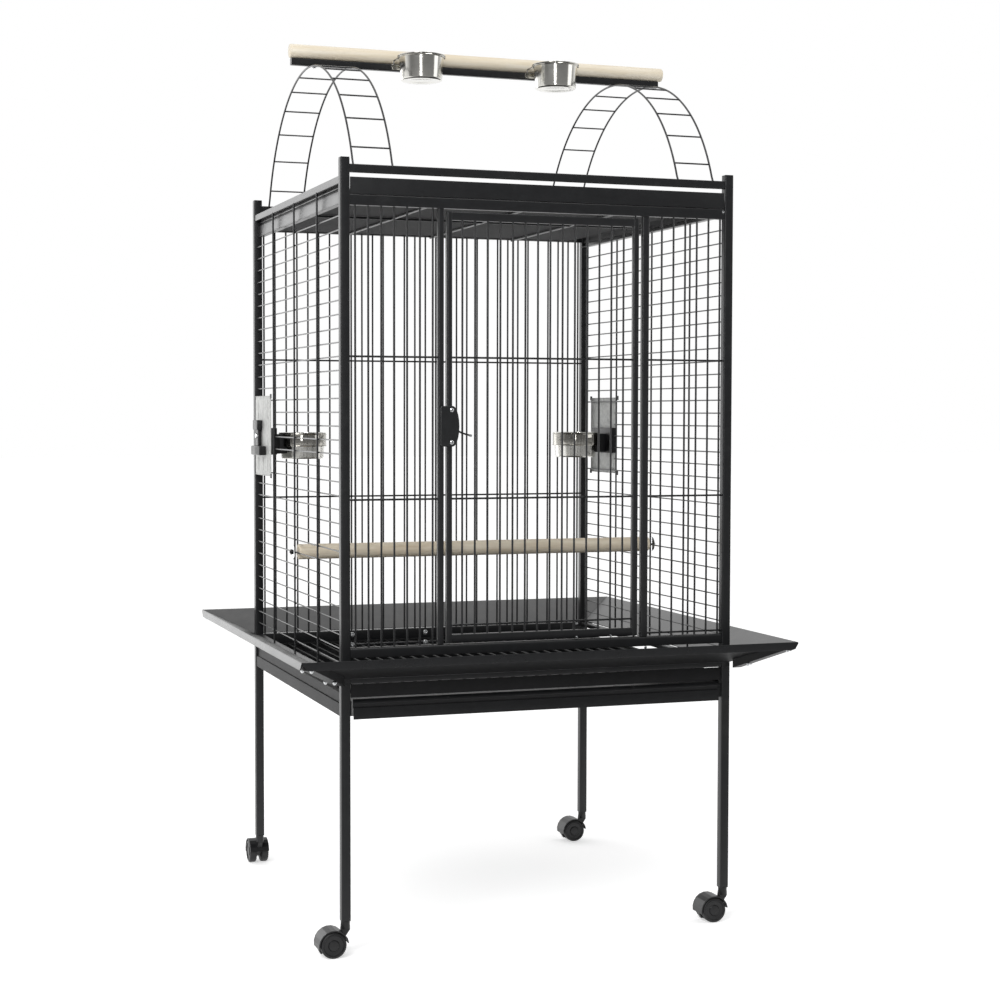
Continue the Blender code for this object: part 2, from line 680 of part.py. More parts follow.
def swept_rail(bm, x, points, radius, sides):
    """Adds a rod that follows points (y, z) in the upright plane at x."""
    rings = []
    for i, (y, z) in enumerate(points):
        before = Vector((0, *points[max(i - 1, 0)]))
        after = Vector((0, *points[min(i + 1, len(points) - 1)]))
        out = (after - before).normalized().cross(Vector((1, 0, 0)))
        ring = []
        for s in range(sides):
            turn = 2 * math.pi * (s + 0.5) / sides
            at = Vector((x, y, z)) + radius * (
                math.cos(turn) * Vector((1, 0, 0)) + math.sin(turn) * out
            )
            ring.append(bm.verts.new(at))
        rings.append(ring)
    for a, b in zip(rings, rings[1:]):
        for s in range(sides):
            bm.faces.new((a[s], a[(s + 1) % sides], b[(s + 1) % sides], b[s]))
    bm.faces.new(rings[0])
    bm.faces.new(list(reversed(rings[-1])))


def make_ladder_arches():
    foot_y = TUBE_OUT + GAP + 0.0025
    points = [arch_point(i / ARCH_SEGMENTS) for i in range(1, ARCH_SEGMENTS)]
    points = [(DEPTH - foot_y, ARCH_FOOT_Z), *points, (foot_y, ARCH_FOOT_Z)]
    for side in ("left", "right"):
        rails = ARCH_RAILS if side == "left" else tuple(WIDTH - x for x in reversed(ARCH_RAILS))
        rungs = bmesh.new()
        for y, z in arch_rung_points():
            rod(rungs, (rails[0] - 0.001, y, z), (rails[1] + 0.001, y, z), RUNG_ROD, 6)
        for y in (foot_y, DEPTH - foot_y):
            foot = (rails[0] - 0.006, y, ARCH_FOOT_ROD_Z)
            rod(rungs, foot, (rails[1] + 0.006, y, ARCH_FOOT_ROD_Z), 0.0021, 6)
        arch = new_object(side + "_ladder_arch", rungs, POWDER)
        sides = bmesh.new()
        for x in rails:
            swept_rail(sides, x, points, ARCH_ROD, 6)
        boolean(arch, cutter(side + "_arch_rails", sides))


def make_perches():
    bar = (*BAR_X, MID_Y - 0.007, MID_Y + 0.007, *BAR_Z)
    new_object("perch_bar", welded([bar]), POWDER)
    for name, (x0, x1), z, r, sides in (
        ("top_perch", TOP_PERCH_X, TOP_PERCH_Z, TOP_PERCH_R, 16),
        ("inner_perch", (GRID_OUT + GAP, WIDTH - GRID_OUT - GAP), INNER_PERCH_Z, INNER_PERCH_R, 16),
    ):
        half = (x1 - x0) / 2
        profile = [
            (0.0, -half), (r - 0.002, -half), (r, -half + 0.003),
            (r, half - 0.003), (r - 0.002, half), (0.0, half),
        ]
        dowel = turned(profile, ((x0 + x1) / 2, MID_Y, z), sides, "X")
        new_object(name, dowel, WOOD, smooth=True)


def make_top_cups():
    """Steel cups in hoops that hang on the front of the perch bar."""
    for side, sign in (("left", -1), ("right", 1)):
        x = MID_X + sign * CUP_OFFSET
        bar_face = MID_Y - 0.007 - GAP
        hanger = [(x - 0.047, x + 0.047, bar_face - 0.0025, bar_face, 1.7445, 1.7555)]
        for arm in (-1, 1):
            wire = sorted((x + arm * 0.043, x + arm * 0.047))
            # Each arm steps down in front of the pole.
            hanger += [
                (*wire, CUP_Y - 0.004, HANGER_STEP, *HANGER_Z),
                (*wire, HANGER_STEP - 0.003, HANGER_STEP, 1.7520, HANGER_Z[1]),
                (*wire, HANGER_STEP - 0.003, bar_face, 1.7520, 1.7555),
            ]
        holder = new_object(side + "_cup_hanger", welded(hanger), STEEL)
        hoop = turned(
            [(HANGER_R[0], HANGER_Z[0]), (HANGER_R[1], HANGER_Z[0]), (HANGER_R[1], HANGER_Z[1]),
             (HANGER_R[0], HANGER_Z[1])],
            (x, CUP_Y, 0.0), 24,
        )
        boolean(holder, cutter(side + "_cup_hoop", hoop))
        well = turned(
            [(0.0, 1.70), (HANGER_R[0], 1.70), (HANGER_R[0], 1.80), (0.0, 1.80)],
            (x, CUP_Y, 0.0), 24,
        )
        boolean(holder, cutter(side + "_cup_well", well), "DIFFERENCE")
        cup = turned(
            bowl_profile(CUP_RIM, CUP_SIDE, CUP_FOOT, CUP_RIM_Z, CUP_BASE_Z, 0.0017),
            (x, CUP_Y, 0.0), 24,
        )
        new_object(side + "_top_cup", cup, STEEL, (x, CUP_Y, CUP_BASE_Z), smooth=True)


def guard_under_z(reach):
    """Height of a seed guard's underside at a distance from the cage."""
    slope = (GUARD_OUTER_Z - GUARD_INNER_Z) / (GUARD_REACH - GUARD_START)
    return GUARD_INNER_Z - GUARD_SHEET + slope * (reach - GUARD_START)


def make_seed_guards():
    """Mitred strips with a folded hem, and a bracket under each mitre."""
    hem = 0.002
    under = guard_under_z(GUARD_REACH - hem)
    section = [
        (GUARD_START, GUARD_INNER_Z - GUARD_SHEET), (GUARD_START, GUARD_INNER_Z),
        (GUARD_REACH, GUARD_OUTER_Z), (GUARD_REACH, GUARD_OUTER_Z - GUARD_HEM),
        (GUARD_REACH - hem, GUARD_OUTER_Z - GUARD_HEM), (GUARD_REACH - hem, under),
    ]
    spans = {
        "front": (WIDTH, lambda a, d: (a, -d)),
        "back": (WIDTH, lambda a, d: (a, DEPTH + d)),
        "left": (DEPTH, lambda a, d: (-d, a)),
        "right": (DEPTH, lambda a, d: (WIDTH + d, a)),
    }
    for side, (length, at) in spans.items():
        bm = bmesh.new()
        ends = []
        for far in (False, True):
            ring = []
            for d, z in section:
                # The folded hem is cut back at 45 degrees towards its lower edge.
                back = GAP + max(0.0, guard_under_z(d) - z - 0.002)
                along = length + d - back if far else -d + back
                ring.append(bm.verts.new((*at(along, d), z)))
            ends.append(ring)
        n = len(section)
        for i in range(n):
            j = (i + 1) % n
            bm.faces.new((ends[0][i], ends[0][j], ends[1][j], ends[1][i]))
        for ring in ends:
            bm.faces.new(ring)
        new_object("seed_guard_" + side, bm, POWDER)

    near, far, wing = 0.016, 0.096, 0.018
    corners = {
        "front_left": ((0.0, 0.0), (-1, -1)),
        "front_right": ((WIDTH, 0.0), (1, -1)),
        "back_left": ((0.0, DEPTH), (-1, 1)),
        "back_right": ((WIDTH, DEPTH), (1, 1)),
    }
    for where, ((cx, cy), (sx, sy)) in corners.items():
        bm = bmesh.new()
        grid = []
        for d, thick in ((near, 0.017), (far, 0.011)):
            top = guard_under_z(d) - GAP
            row = []
            for dx, dy in ((d, d - wing), (d, d), (d - wing, d)):
                spot = (cx + sx * dx, cy + sy * dy)
                row.append([bm.verts.new((*spot, z)) for z in (top - thick, top)])
            grid.append(row)
        a, b = grid
        for k in (0, 1):
            bm.faces.new((a[0][k], a[1][k], b[1][k], b[0][k]))
            bm.faces.new((a[1][k], a[2][k], b[2][k], b[1][k]))
        loop = [a[0], a[1], a[2], b[2], b[1], b[0]]
        for p, q in zip(loop, loop[1:] + loop[:1]):
            bm.faces.new((p[0], q[0], q[1], p[1]))
        new_object("guard_bracket_" + where, bm, PLASTIC)


def make_casters():
    """Twin-wheel casters that swivel under the legs, three trailing left and one backwards."""
    r_vertex = WHEEL_R / math.cos(math.pi / WHEEL_SIDES)
    inner, outer = WHEEL_FACES
    hub = 0.010
    wheel = [
        (0.0, -outer), (r_vertex - 0.003, -outer), (r_vertex, -outer + 0.003), (r_vertex, -inner),
        (hub, -inner), (AXLE_R, -inner), (AXLE_R, inner), (hub, inner),
        (r_vertex, inner), (r_vertex, outer - 0.003), (r_vertex - 0.003, outer), (0.0, outer),
    ]
    half_post = POST / 2
    spots = {
        "front_left": ((half_post, half_post), 180.0),
        "front_right": ((WIDTH - half_post, half_post), 180.0),
        "back_left": ((half_post, DEPTH - half_post), 90.0),
        "back_right": ((WIDTH - half_post, DEPTH - half_post), 180.0),
    }
    web = inner - 0.0006
    for where, ((x, y), heading) in spots.items():
        turn = Matrix.Translation((x, y, 0)) @ Matrix.Rotation(math.radians(heading), 4, "Z")
        axle = (TRAIL, WHEEL_R)
        outline = arc(axle, HOOD_R[0] + 0.001, -40, 130, 9) + [(0.008, 0.059), (-0.008, 0.059)]
        outline += [(-0.008, 0.050), (TRAIL - 0.012, WHEEL_R - 0.008)]
        body = extruded(outline, "Y", -web, web)
        body.transform(turn)
        fork = new_object("caster_fork_" + where, body, PLASTIC, pivot=(x, y, LEG_BOTTOM))
        hood_line = arc(axle, HOOD_R[1], -12, 172, 10) + arc(axle, HOOD_R[0], 172, -12, 10)
        hood = extruded(hood_line, "Y", -outer, outer)
        hood.transform(turn)
        boolean(fork, cutter(where + "_hood", hood, (x, y, LEG_BOTTOM)))
        stem = turned(
            [(0.0, 0.052), (0.009, 0.052), (0.009, 0.0662), (0.005, 0.0662), (0.005, 0.095),
             (0.0, 0.095)],
            (x, y, 0.0), 16,
        )
        boolean(fork, cutter(where + "_stem", stem, (x, y, LEG_BOTTOM)))
        hole = turned(
            [(0.0, -0.02), (AXLE_R + 0.0004, -0.02), (AXLE_R + 0.0004, 0.02), (0.0, 0.02)],
            (TRAIL, 0.0, WHEEL_R), 16, "Y",
        )
        hole.transform(turn)
        boolean(fork, cutter(where + "_axle_hole", hole, (x, y, LEG_BOTTOM)), "DIFFERENCE")
        pair = turned(wheel, (0, 0, 0), WHEEL_SIDES, "Y")
        # A flat of the faceted tread faces the floor.
        bmesh.ops.rotate(
            pair, verts=pair.verts, cent=(0, 0, 0),
            matrix=Matrix.Rotation(math.pi / 2 + math.pi / WHEEL_SIDES, 3, "Y"),
        )
        bmesh.ops.translate(pair, verts=pair.verts, vec=(TRAIL, 0.0, WHEEL_R))
        pair.transform(turn)
        centre = turn @ Vector((TRAIL, 0.0, WHEEL_R))
        new_object("caster_wheels_" + where, pair, PLASTIC, tuple(centre), smooth=True)


def main():
    clear_scene()
    make_posts_and_legs()
    make_rails()
    make_back_panel()
    make_front_panels()
    make_door()
    make_latch()
    make_side_panels()
    make_feeders()
    make_drawers()
    make_ladder_arches()
    make_perches()
    make_top_cups()
    make_seed_guards()
    make_casters()


main()
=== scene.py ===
"""A barred parrot cage on a wheeled stand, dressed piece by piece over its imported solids.

Lengths are in metres. Sizes are counted from the cage's left outer face, its front outer
face and the floor, as its maker would take them, and `spot` moves them into the frame.
"""

import logging
import math
from dataclasses import dataclass, field
from enum import Enum
from functools import cache
from typing import Any, Callable, Sequence

import bmesh
import bpy
from mathutils import Matrix, Vector


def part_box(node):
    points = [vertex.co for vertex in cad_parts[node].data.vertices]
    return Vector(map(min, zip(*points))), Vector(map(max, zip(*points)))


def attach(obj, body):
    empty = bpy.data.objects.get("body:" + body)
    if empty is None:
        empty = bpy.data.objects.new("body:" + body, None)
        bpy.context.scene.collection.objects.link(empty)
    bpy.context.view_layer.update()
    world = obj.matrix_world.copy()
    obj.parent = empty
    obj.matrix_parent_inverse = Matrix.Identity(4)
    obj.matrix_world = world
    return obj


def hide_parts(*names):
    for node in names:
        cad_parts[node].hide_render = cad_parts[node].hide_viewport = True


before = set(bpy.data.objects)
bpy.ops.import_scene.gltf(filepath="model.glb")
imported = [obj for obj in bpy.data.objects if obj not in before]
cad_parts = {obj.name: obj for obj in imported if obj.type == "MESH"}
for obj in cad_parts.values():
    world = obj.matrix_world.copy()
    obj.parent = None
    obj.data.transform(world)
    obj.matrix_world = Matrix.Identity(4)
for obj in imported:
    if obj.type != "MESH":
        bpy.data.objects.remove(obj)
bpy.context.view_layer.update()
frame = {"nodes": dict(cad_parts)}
LOG = logging.getLogger("cage")

WIDTH = 0.810
DEPTH = 0.788
POST = 0.018
GAP = 0.0003
MID_X = WIDTH / 2
MID_Y = DEPTH / 2
INSIDE = POST + GAP
# How far a wire runs into the tube that it is welded to.
LAP = 0.001
# Rounding of sheet edges.
EASED = 0.0005

Pair = tuple[float, float]
Triple = tuple[float, float, float]


def spot(x: float, y: float, z: float) -> Vector:
    """Moves a point from the cage's own measures into the frame."""
    return Vector((x - MID_X, y - MID_Y, z))


def extent(node: str) -> tuple[Vector, Vector]:
    """Measures a solid's box in the cage's own measures.

    Args:
        node: the solid's name.

    Returns:
        Its low and high corners.
    """
    shift = Vector((MID_X, MID_Y, 0.0))
    low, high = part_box(node)
    return low + shift, high + shift


def arc(middle: Sequence[float], radius: float, start: float, end: float, steps: int) -> list[Pair]:
    """Gives the points of an arc.

    Args:
        middle, radius: of its circle.
        start, end: where it starts and ends, in quarter turns.
        steps: parts that it is cut into.

    Returns:
        Its points, one more than its parts.
    """
    turns = [math.pi / 2 * (start + (end - start) * s / steps) for s in range(steps + 1)]
    return [(middle[0] + radius * math.cos(t), middle[1] + radius * math.sin(t)) for t in turns]


class Side(Enum):
    """The two sides of the cage, as seen from its front."""

    LEFT = "left"
    RIGHT = "right"

    @property
    def flip(self) -> bool:
        """Tells whether sizes are mirrored across the cage's width."""
        return self is Side.RIGHT


class Corner(Enum):
    """The four corners: a name, and the way that each points in X and Y."""

    FRONT_LEFT = ("front_left", -1, -1)
    FRONT_RIGHT = ("front_right", 1, -1)
    BACK_LEFT = ("back_left", -1, 1)
    BACK_RIGHT = ("back_right", 1, 1)

    @property
    def label(self) -> str:
        """The corner's name as the nodes use it."""
        return self.value[0]

    @property
    def outer(self) -> Pair:
        """The outer corner of the post, in the cage's own measures."""
        return (0.0 if self.value[1] < 0 else WIDTH, 0.0 if self.value[2] < 0 else DEPTH)

    @property
    def middle(self) -> Pair:
        """The middle of the post."""
        x, y = self.outer
        return x - self.value[1] * POST / 2, y - self.value[2] * POST / 2


class Axis(Enum):
    """The direction that a tube or prism runs in, with the two directions across it."""

    X = (0, 1, 2)
    Y = (1, 0, 2)
    Z = (2, 0, 1)

    def place(self, along: float, first: float, second: float) -> Triple:
        """Orders lengths by the frame's axes.

        Args:
            along: one length along this direction.
            first, second: two lengths across it.

        Returns:
            The three as x, y and z.
        """
        out = [0.0, 0.0, 0.0]
        for k, value in zip(self.value, (along, first, second)):
            out[k] = value
        return out[0], out[1], out[2]


class Shape:
    """Collects the faces of one piece, in the cage's own measures."""

    def __init__(self, flip: bool = False) -> None:
        """Starts empty.

        Args:
            flip: mirrors the piece across the cage's width.
        """
        self.bm = bmesh.new()
        self.flip = flip
        self.finish = 0

    def vert(self, point: Sequence[float]) -> bmesh.types.BMVert:
        """Adds one corner at a point of the cage's own measures."""
        x, y, z = point
        return self.bm.verts.new(spot(WIDTH - x if self.flip else x, y, z))

    def skin(self, rings: Sequence[Sequence[Sequence[float]]], closed: bool = False) -> None:
        """Joins rings of equal length with quads, and caps both ends.

        Args:
            rings: loops of points, in order along the piece.
            closed: joins the last ring to the first instead of capping.
        """
        loops = [[self.vert(p) for p in ring] for ring in rings]
        pairs = list(zip(loops, loops[1:]))
        if closed:
            pairs.append((loops[-1], loops[0]))
        for a, b in pairs:
            n = len(a)
            for i in range(n):
                self.face((a[i], a[(i + 1) % n], b[(i + 1) % n], b[i]))
        if not closed:
            self.face(loops[0])
            self.face(loops[-1][::-1])

    def face(self, verts: Sequence[bmesh.types.BMVert]) -> None:
        """Adds one face in the finish that is set now."""
        made = self.bm.faces.new(verts)
        made.material_index = self.finish

    def box(self, x: Pair, y: Pair, z: Pair, soft: float = 0.0) -> None:
        """Adds a block.

        Args:
            x, y, z: its faces.
            soft: rounding of its edges.
        """
        before = set(self.bm.edges)
        ring = [(x[0], y[0]), (x[1], y[0]), (x[1], y[1]), (x[0], y[1])]
        self.skin([[(a, b, h) for a, b in ring] for h in z])
        if soft:
            edges = [e for e in self.bm.edges if e not in before]
            bmesh.ops.bevel(self.bm, geom=edges, offset=soft, segments=2, affect="EDGES",
                            profile=0.6, material=-1)

    def tube(self, axis: Axis, along: Pair, first: Pair, second: Pair, radius: float) -> None:
        """Adds a square bar with rounded long edges.

        Args:
            axis: the way that it runs.
            along: its two ends.
            first, second: its faces in the two directions across.
            radius: of its long edges.
        """
        ring = []
        for k, (a, b) in enumerate(((1, 1), (0, 1), (0, 0), (1, 0))):
            middle = (first[a] + (1 - 2 * a) * radius, second[b] + (1 - 2 * b) * radius)
            ring += arc(middle, radius, k, k + 1, 3)
        self.prism(ring, axis, along)

    def rod(self, points: Sequence[Sequence[float]], radius: float, sides: int = 10,
            closed: bool = False) -> None:
        """Adds a round wire that follows points.

        Args:
            points: its centreline.
            radius: of the wire.
            sides: faces round it.
            closed: joins its end to its start.
        """
        line = [Vector(p) for p in points]
        count = len(line)
        rings = []
        across = None
        for i, p in enumerate(line):
            if closed:
                before, after = line[i - 1], line[(i + 1) % count]
            else:
                before, after = line[max(i - 1, 0)], line[min(i + 1, count - 1)]
            ahead = (after - before).normalized()
            if across is None:
                guide = Vector((0, 0, 1)) if abs(ahead.z) < 0.9 else Vector((1, 0, 0))
                across = ahead.cross(guide).normalized()
            across = (across - ahead * across.dot(ahead)).normalized()
            other = ahead.cross(across)
            turns = [2 * math.pi * s / sides for s in range(sides)]
            rings.append([p + radius * (math.cos(t) * across + math.sin(t) * other) for t in turns])
        self.skin(rings, closed)

    def bar(self, axis: Axis, along: Pair, first: float, second: float, radius: float,
            sides: int = 10) -> None:
        """Adds a straight round wire.

        Args:
            axis: the way that it runs.
            along: its two ends.
            first, second: its place in the two directions across.
            radius, sides: as for a rod.
        """
        self.rod([axis.place(t, first, second) for t in along], radius, sides)

    def ring(self, middle: Triple, reach: float, wire: float) -> None:
        """Adds a level ring of wire, `reach` away from its middle."""
        line = arc(middle, reach, 0, 4, 56)[:-1]
        self.rod([(x, y, middle[2]) for x, y in line], wire, 8, closed=True)

    def lathe(self, profile: Sequence[Pair], centre: Sequence[float], axis: Axis,
              steps: int) -> None:
        """Turns a profile round an axis.

        Args:
            profile: points (radius, height).
            centre: the point that heights are counted from.
            axis: to turn round.
            steps: faces round it.
        """
        loops: list[list[bmesh.types.BMVert]] = []
        for r, h in profile:
            ring = []
            for s in range(steps if r > 1e-6 else 1):
                turn = 2 * math.pi * s / steps
                dx, dy, dz = axis.place(h, r * math.cos(turn), r * math.sin(turn))
                ring.append(self.vert((centre[0] + dx, centre[1] + dy, centre[2] + dz)))
            loops.append(ring)
        for a, b in zip(loops, loops[1:]):
            for s in range(steps):
                t = (s + 1) % steps
                if len(a) == 1 and len(b) == 1:
                    continue
                if len(a) == 1:
                    self.face((a[0], b[s], b[t]))
                elif len(b) == 1:
                    self.face((a[s], a[t], b[0]))
                else:
                    self.face((a[s], a[t], b[t], b[s]))

    def prism(self, outline: Sequence[Pair], axis: Axis, along: Pair) -> None:
        """Pushes a flat outline along an axis."""
        self.skin([[axis.place(t, p, q) for p, q in outline] for t in along])

    def make(self, name: str, body: str, finishes: Sequence["Finish"], nodes: Sequence[str] = (),
             soft: float = 0.0, sharp: float = 38.0) -> None:
        """Turns the faces into a piece that rides on a body.

        Args:
            name: of the piece.
            body: that it rides on.
            finishes: one for each finish number that was used.
            nodes: solids that it stands for.
            soft: width of a bevel on its sharp edges.
            sharp: angle in degrees above which an edge stays crisp.
        """
        bmesh.ops.recalc_face_normals(self.bm, faces=self.bm.faces)
        mesh = bpy.data.meshes.new(name)
        self.bm.to_mesh(mesh)
        self.bm.free()
        piece = bpy.data.objects.new(name, mesh)
        bpy.context.scene.collection.objects.link(piece)
        for finish in finishes:
            mesh.materials.append(finish.material())
        mesh.shade_smooth()
        mesh.set_sharp_from_angle(angle=math.radians(sharp))
        if soft:
            bevel = piece.modifiers.new("soft_edges", "BEVEL")
            bevel.width = soft
            bevel.segments = 2
            bevel.limit_method = "ANGLE"
            bevel.angle_limit = math.radians(40)
        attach(piece, body)
        if nodes:
            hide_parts(*nodes)
        LOG.info("%s rides on %s, %d faces", name, body, len(mesh.polygons))


class Graph:
    """Adds and joins the nodes of one material or group."""

    def __init__(self, tree: bpy.types.NodeTree) -> None:
        """Takes the tree to fill."""
        self.tree = tree

    def add(self, kind: str, **values: Any) -> bpy.types.Node:
        """Adds a node, and sets its properties or its inputs by name or number.

        Args:
            kind: the node's type.
            values: properties, or inputs as in_NAME.

        Returns:
            The new node.
        """
        node = self.tree.nodes.new(kind)
        for key, value in values.items():
            if key.startswith("in_"):
                tag = key[3:].replace("_", " ")
                socket = node.inputs[int(tag)] if tag.isdigit() else node.inputs[tag]
                if isinstance(value, bpy.types.NodeSocket):
                    self.tree.links.new(value, socket)
                else:
                    socket.default_value = value
            else:
                setattr(node, key, value)
        return node

    def join(self, output: Any, socket: Any) -> None:
        """Links an output to an input."""
        self.tree.links.new(output, socket)

    def place(self) -> Any:
        """Adds the piece's own coordinates and gives them."""
        return self.add("ShaderNodeTexCoord").outputs["Object"]

    def parts(self, vector: Any) -> Any:
        """Splits a vector and gives its three outputs."""
        return self.add("ShaderNodeSeparateXYZ", in_Vector=vector).outputs

    def group(self, tree: bpy.types.NodeTree, **values: Any) -> Any:
        """Places a node group with its own values and gives its outputs."""
        return self.add("ShaderNodeGroup", node_tree=tree, **values).outputs

    def math(self, operation: str, a: Any, b: Any = 0.0, clamp: bool = False) -> Any:
        """Adds one sum of two values and gives its output."""
        node = self.add("ShaderNodeMath", operation=operation, use_clamp=clamp, in_0=a, in_1=b)
        return node.outputs[0]

    def times(self, a: Any, b: Any, clamp: bool = False) -> Any:
        """Multiplies two values and gives the output."""
        return self.math("MULTIPLY", a, b, clamp)

    def spread(self, value: Any, low: float, high: float, to: Pair = (0.0, 1.0)) -> Any:
        """Maps a range of values onto another.

        Args:
            value: an output or a number.
            low, high: the range that it comes from.
            to: the range that it goes to.

        Returns:
            The output.
        """
        node = self.add("ShaderNodeMapRange", in_Value=value, in_From_Min=low, in_From_Max=high,
                        in_To_Min=to[0], in_To_Max=to[1])
        return node.outputs["Result"]

    def noise(self, vector: Any, scale: Any, detail: float, rough: float) -> Any:
        """Adds a noise.

        Args:
            vector: the place to read it at.
            scale, detail, rough: the noise's own settings.

        Returns:
            Its value.
        """
        node = self.add("ShaderNodeTexNoise", in_Vector=vector, in_Scale=scale, in_Detail=detail,
                        in_Roughness=rough)
        return node.outputs["Fac"]

    def blend(self, mask: Any, first: Any, second: Any) -> Any:
        """Mixes two colours by a mask and gives the colour."""
        a, b = (c if isinstance(c, bpy.types.NodeSocket) else (*c, 1.0) for c in (first, second))
        return self.add("ShaderNodeMix", data_type="RGBA", in_0=mask, in_6=a, in_7=b).outputs[2]


class Effects:
    """Node groups for effects that several finishes share, each built once."""

    @staticmethod
    def _group(name: str, inputs: dict[str, float],
               outputs: Sequence[str]) -> tuple[Graph, Any, Any]:
        """Starts a group.

        Args:
            name: of the group.
            inputs: its number inputs and their default values.
            outputs: its number outputs.

        Returns:
            Its graph, the values that it takes and the sockets that it gives out through.
        """
        tree = bpy.data.node_groups.new(name, "ShaderNodeTree")
        for key, value in inputs.items():
            socket = tree.interface.new_socket(key, in_out="INPUT", socket_type="NodeSocketFloat")
            socket.default_value = value
        for key in outputs:
            tree.interface.new_socket(key, in_out="OUTPUT", socket_type="NodeSocketFloat")
        g = Graph(tree)
        return g, g.add("NodeGroupInput").outputs, g.add("NodeGroupOutput").inputs

    @staticmethod
    @cache
    def peel() -> bpy.types.NodeTree:
        """Rounded ripples of a baked powder coat or moulded skin, with a slow drift in gloss."""
        settings = {"Ripple Size": 420.0, "Ripple": 0.5, "Drift": 0.08}
        g, start, end = Effects._group("coat_ripple", settings, ("Height", "Gloss"))
        at = g.place()
        fine = g.noise(at, start["Ripple Size"], 3.0, 0.6)
        g.join(g.times(fine, start["Ripple"]), end["Height"])
        slow = g.math("SUBTRACT", g.noise(at, 9.0, 3.0, 0.55), 0.5)
        g.join(g.times(slow, start["Drift"]), end["Gloss"])
        return g.tree

    @staticmethod
    @cache
    def dust() -> bpy.types.NodeTree:
        """A thin film of dust on faces that look up, in uneven patches."""
        settings = {"Amount": 0.3, "Patch Size": 30.0}
        g, start, end = Effects._group("settled_dust", settings, ("Mask",))
        up = g.parts(g.add("ShaderNodeNewGeometry").outputs["Normal"])["Z"]
        level = g.spread(up, 0.55, 0.98)
        patch = g.spread(g.noise(g.place(), start["Patch Size"], 4.0, 0.6), 0.35, 0.75, (0.2, 1.0))
        g.join(g.times(g.times(level, patch), start["Amount"], True), end["Mask"])
        return g.tree

    @staticmethod
    @cache
    def brushing() -> bpy.types.NodeTree:
        """Fine level scratches left by polishing, and the slow change of tone between them."""
        g, start, end = Effects._group(
            "fine_brushing", {"Lines": 900.0, "Depth": 0.3, "Blotch": 14.0}, ("Height", "Tone"))
        at = g.place()
        part = g.parts(at)
        long = g.add("ShaderNodeCombineXYZ", in_X=g.times(part["X"], 6.0),
                     in_Y=g.times(part["Y"], 6.0), in_Z=g.times(part["Z"], start["Lines"]))
        lines = g.noise(long.outputs["Vector"], 1.0, 3.0, 0.6)
        g.join(g.times(lines, start["Depth"]), end["Height"])
        g.join(g.noise(at, start["Blotch"], 3.0, 0.6), end["Tone"])
        return g.tree

    @staticmethod
    @cache
    def grain() -> bpy.types.NodeTree:
        """Long wood fibres along X, with darker streaks and the relief of the fibres."""
        g, start, end = Effects._group(
            "long_grain", {"Streaks": 60.0, "Fibres": 700.0}, ("Streak", "Height"))
        at = g.place()
        part = g.parts(at)
        bend = g.times(g.noise(at, 5.0, 2.0, 0.5), 0.03)
        long = g.add("ShaderNodeCombineXYZ", in_X=g.times(part["X"], 0.05),
                     in_Y=g.math("ADD", part["Y"], bend), in_Z=part["Z"]).outputs["Vector"]
        g.join(g.noise(long, start["Streaks"], 5.0, 0.65), end["Streak"])
        g.join(g.noise(long, start["Fibres"], 2.0, 0.6), end["Height"])
        return g.tree

    @staticmethod
    @cache
    def scuffs() -> bpy.types.NodeTree:
        """Sparse short rub marks."""
        g, start, end = Effects._group("rub_marks", {"Size": 26.0, "Amount": 0.5}, ("Mask",))
        at = g.place()
        wide = g.spread(g.noise(at, start["Size"], 2.0, 0.5), 0.62, 0.72)
        fine = g.spread(g.noise(at, 900.0, 2.0, 0.7), 0.45, 0.6)
        g.join(g.times(g.times(wide, fine), start["Amount"], True), end["Mask"])
        return g.tree


@dataclass(frozen=True)
class Finish:
    """A coat or moulded skin: its name, the record's slot (not used here), two tones, and how it
    shines.

    `relief` is the strength and the depth of its bump.
    """

    name: str
    slot: str
    tone: Triple
    second: Triple
    rough: float
    metal: float = 0.0
    ior: float = 1.5
    ripple_size: float = 420.0
    ripple: float = 0.25
    dust: float = 0.0
    scuffs: float = 0.0
    relief: Pair = (0.35, 0.0004)

    def material(self) -> bpy.types.Material:
        """Gives the finish's material, and builds it at its first use."""
        return bpy.data.materials.get(self.name) or self._build()

    def _build(self) -> bpy.types.Material:
        """Builds the shader: plain values on its own sockets, and the finish's look over them.

        Returns:
            The new material.
        """
        made = bpy.data.materials.new(self.name)
        made.use_nodes = True
        g = Graph(made.node_tree)
        sockets = made.node_tree.nodes["Principled BSDF"].inputs
        sockets["Metallic"].default_value = self.metal
        sockets["IOR"].default_value = self.ior
        colour, rough, height = self._look(g)
        strength, depth = self.relief
        bump = g.add("ShaderNodeBump", in_Strength=strength, in_Distance=depth, in_Height=height)
        g.join(colour, sockets["Base Color"])
        g.join(rough, sockets["Roughness"])
        g.join(bump.outputs["Normal"], sockets["Normal"])
        return made

    def _look(self, g: Graph) -> tuple[Any, Any, Any]:
        """Adds a coat's ripple, gloss drift, rub marks and dust.

        Args:
            g: the material's graph.

        Returns:
            Its colour, roughness and height.
        """
        peel = g.group(Effects.peel(), in_Ripple_Size=self.ripple_size, in_Ripple=self.ripple)
        mottle = g.spread(g.noise(g.place(), 60.0, 4.0, 0.6), 0.3, 0.7)
        rub = g.group(Effects.scuffs(), in_Amount=self.scuffs)["Mask"]
        dust = g.group(Effects.dust(), in_Amount=self.dust)["Mask"]
        colour = g.blend(mottle, self.tone, self.second)
        colour = g.blend(rub, colour, (0.20, 0.20, 0.20))
        colour = g.blend(dust, colour, (0.34, 0.33, 0.31))
        rough = g.math("ADD", self.rough, peel["Gloss"])
        return colour, g.math("ADD", rough, g.times(dust, 0.35), True), peel["Height"]


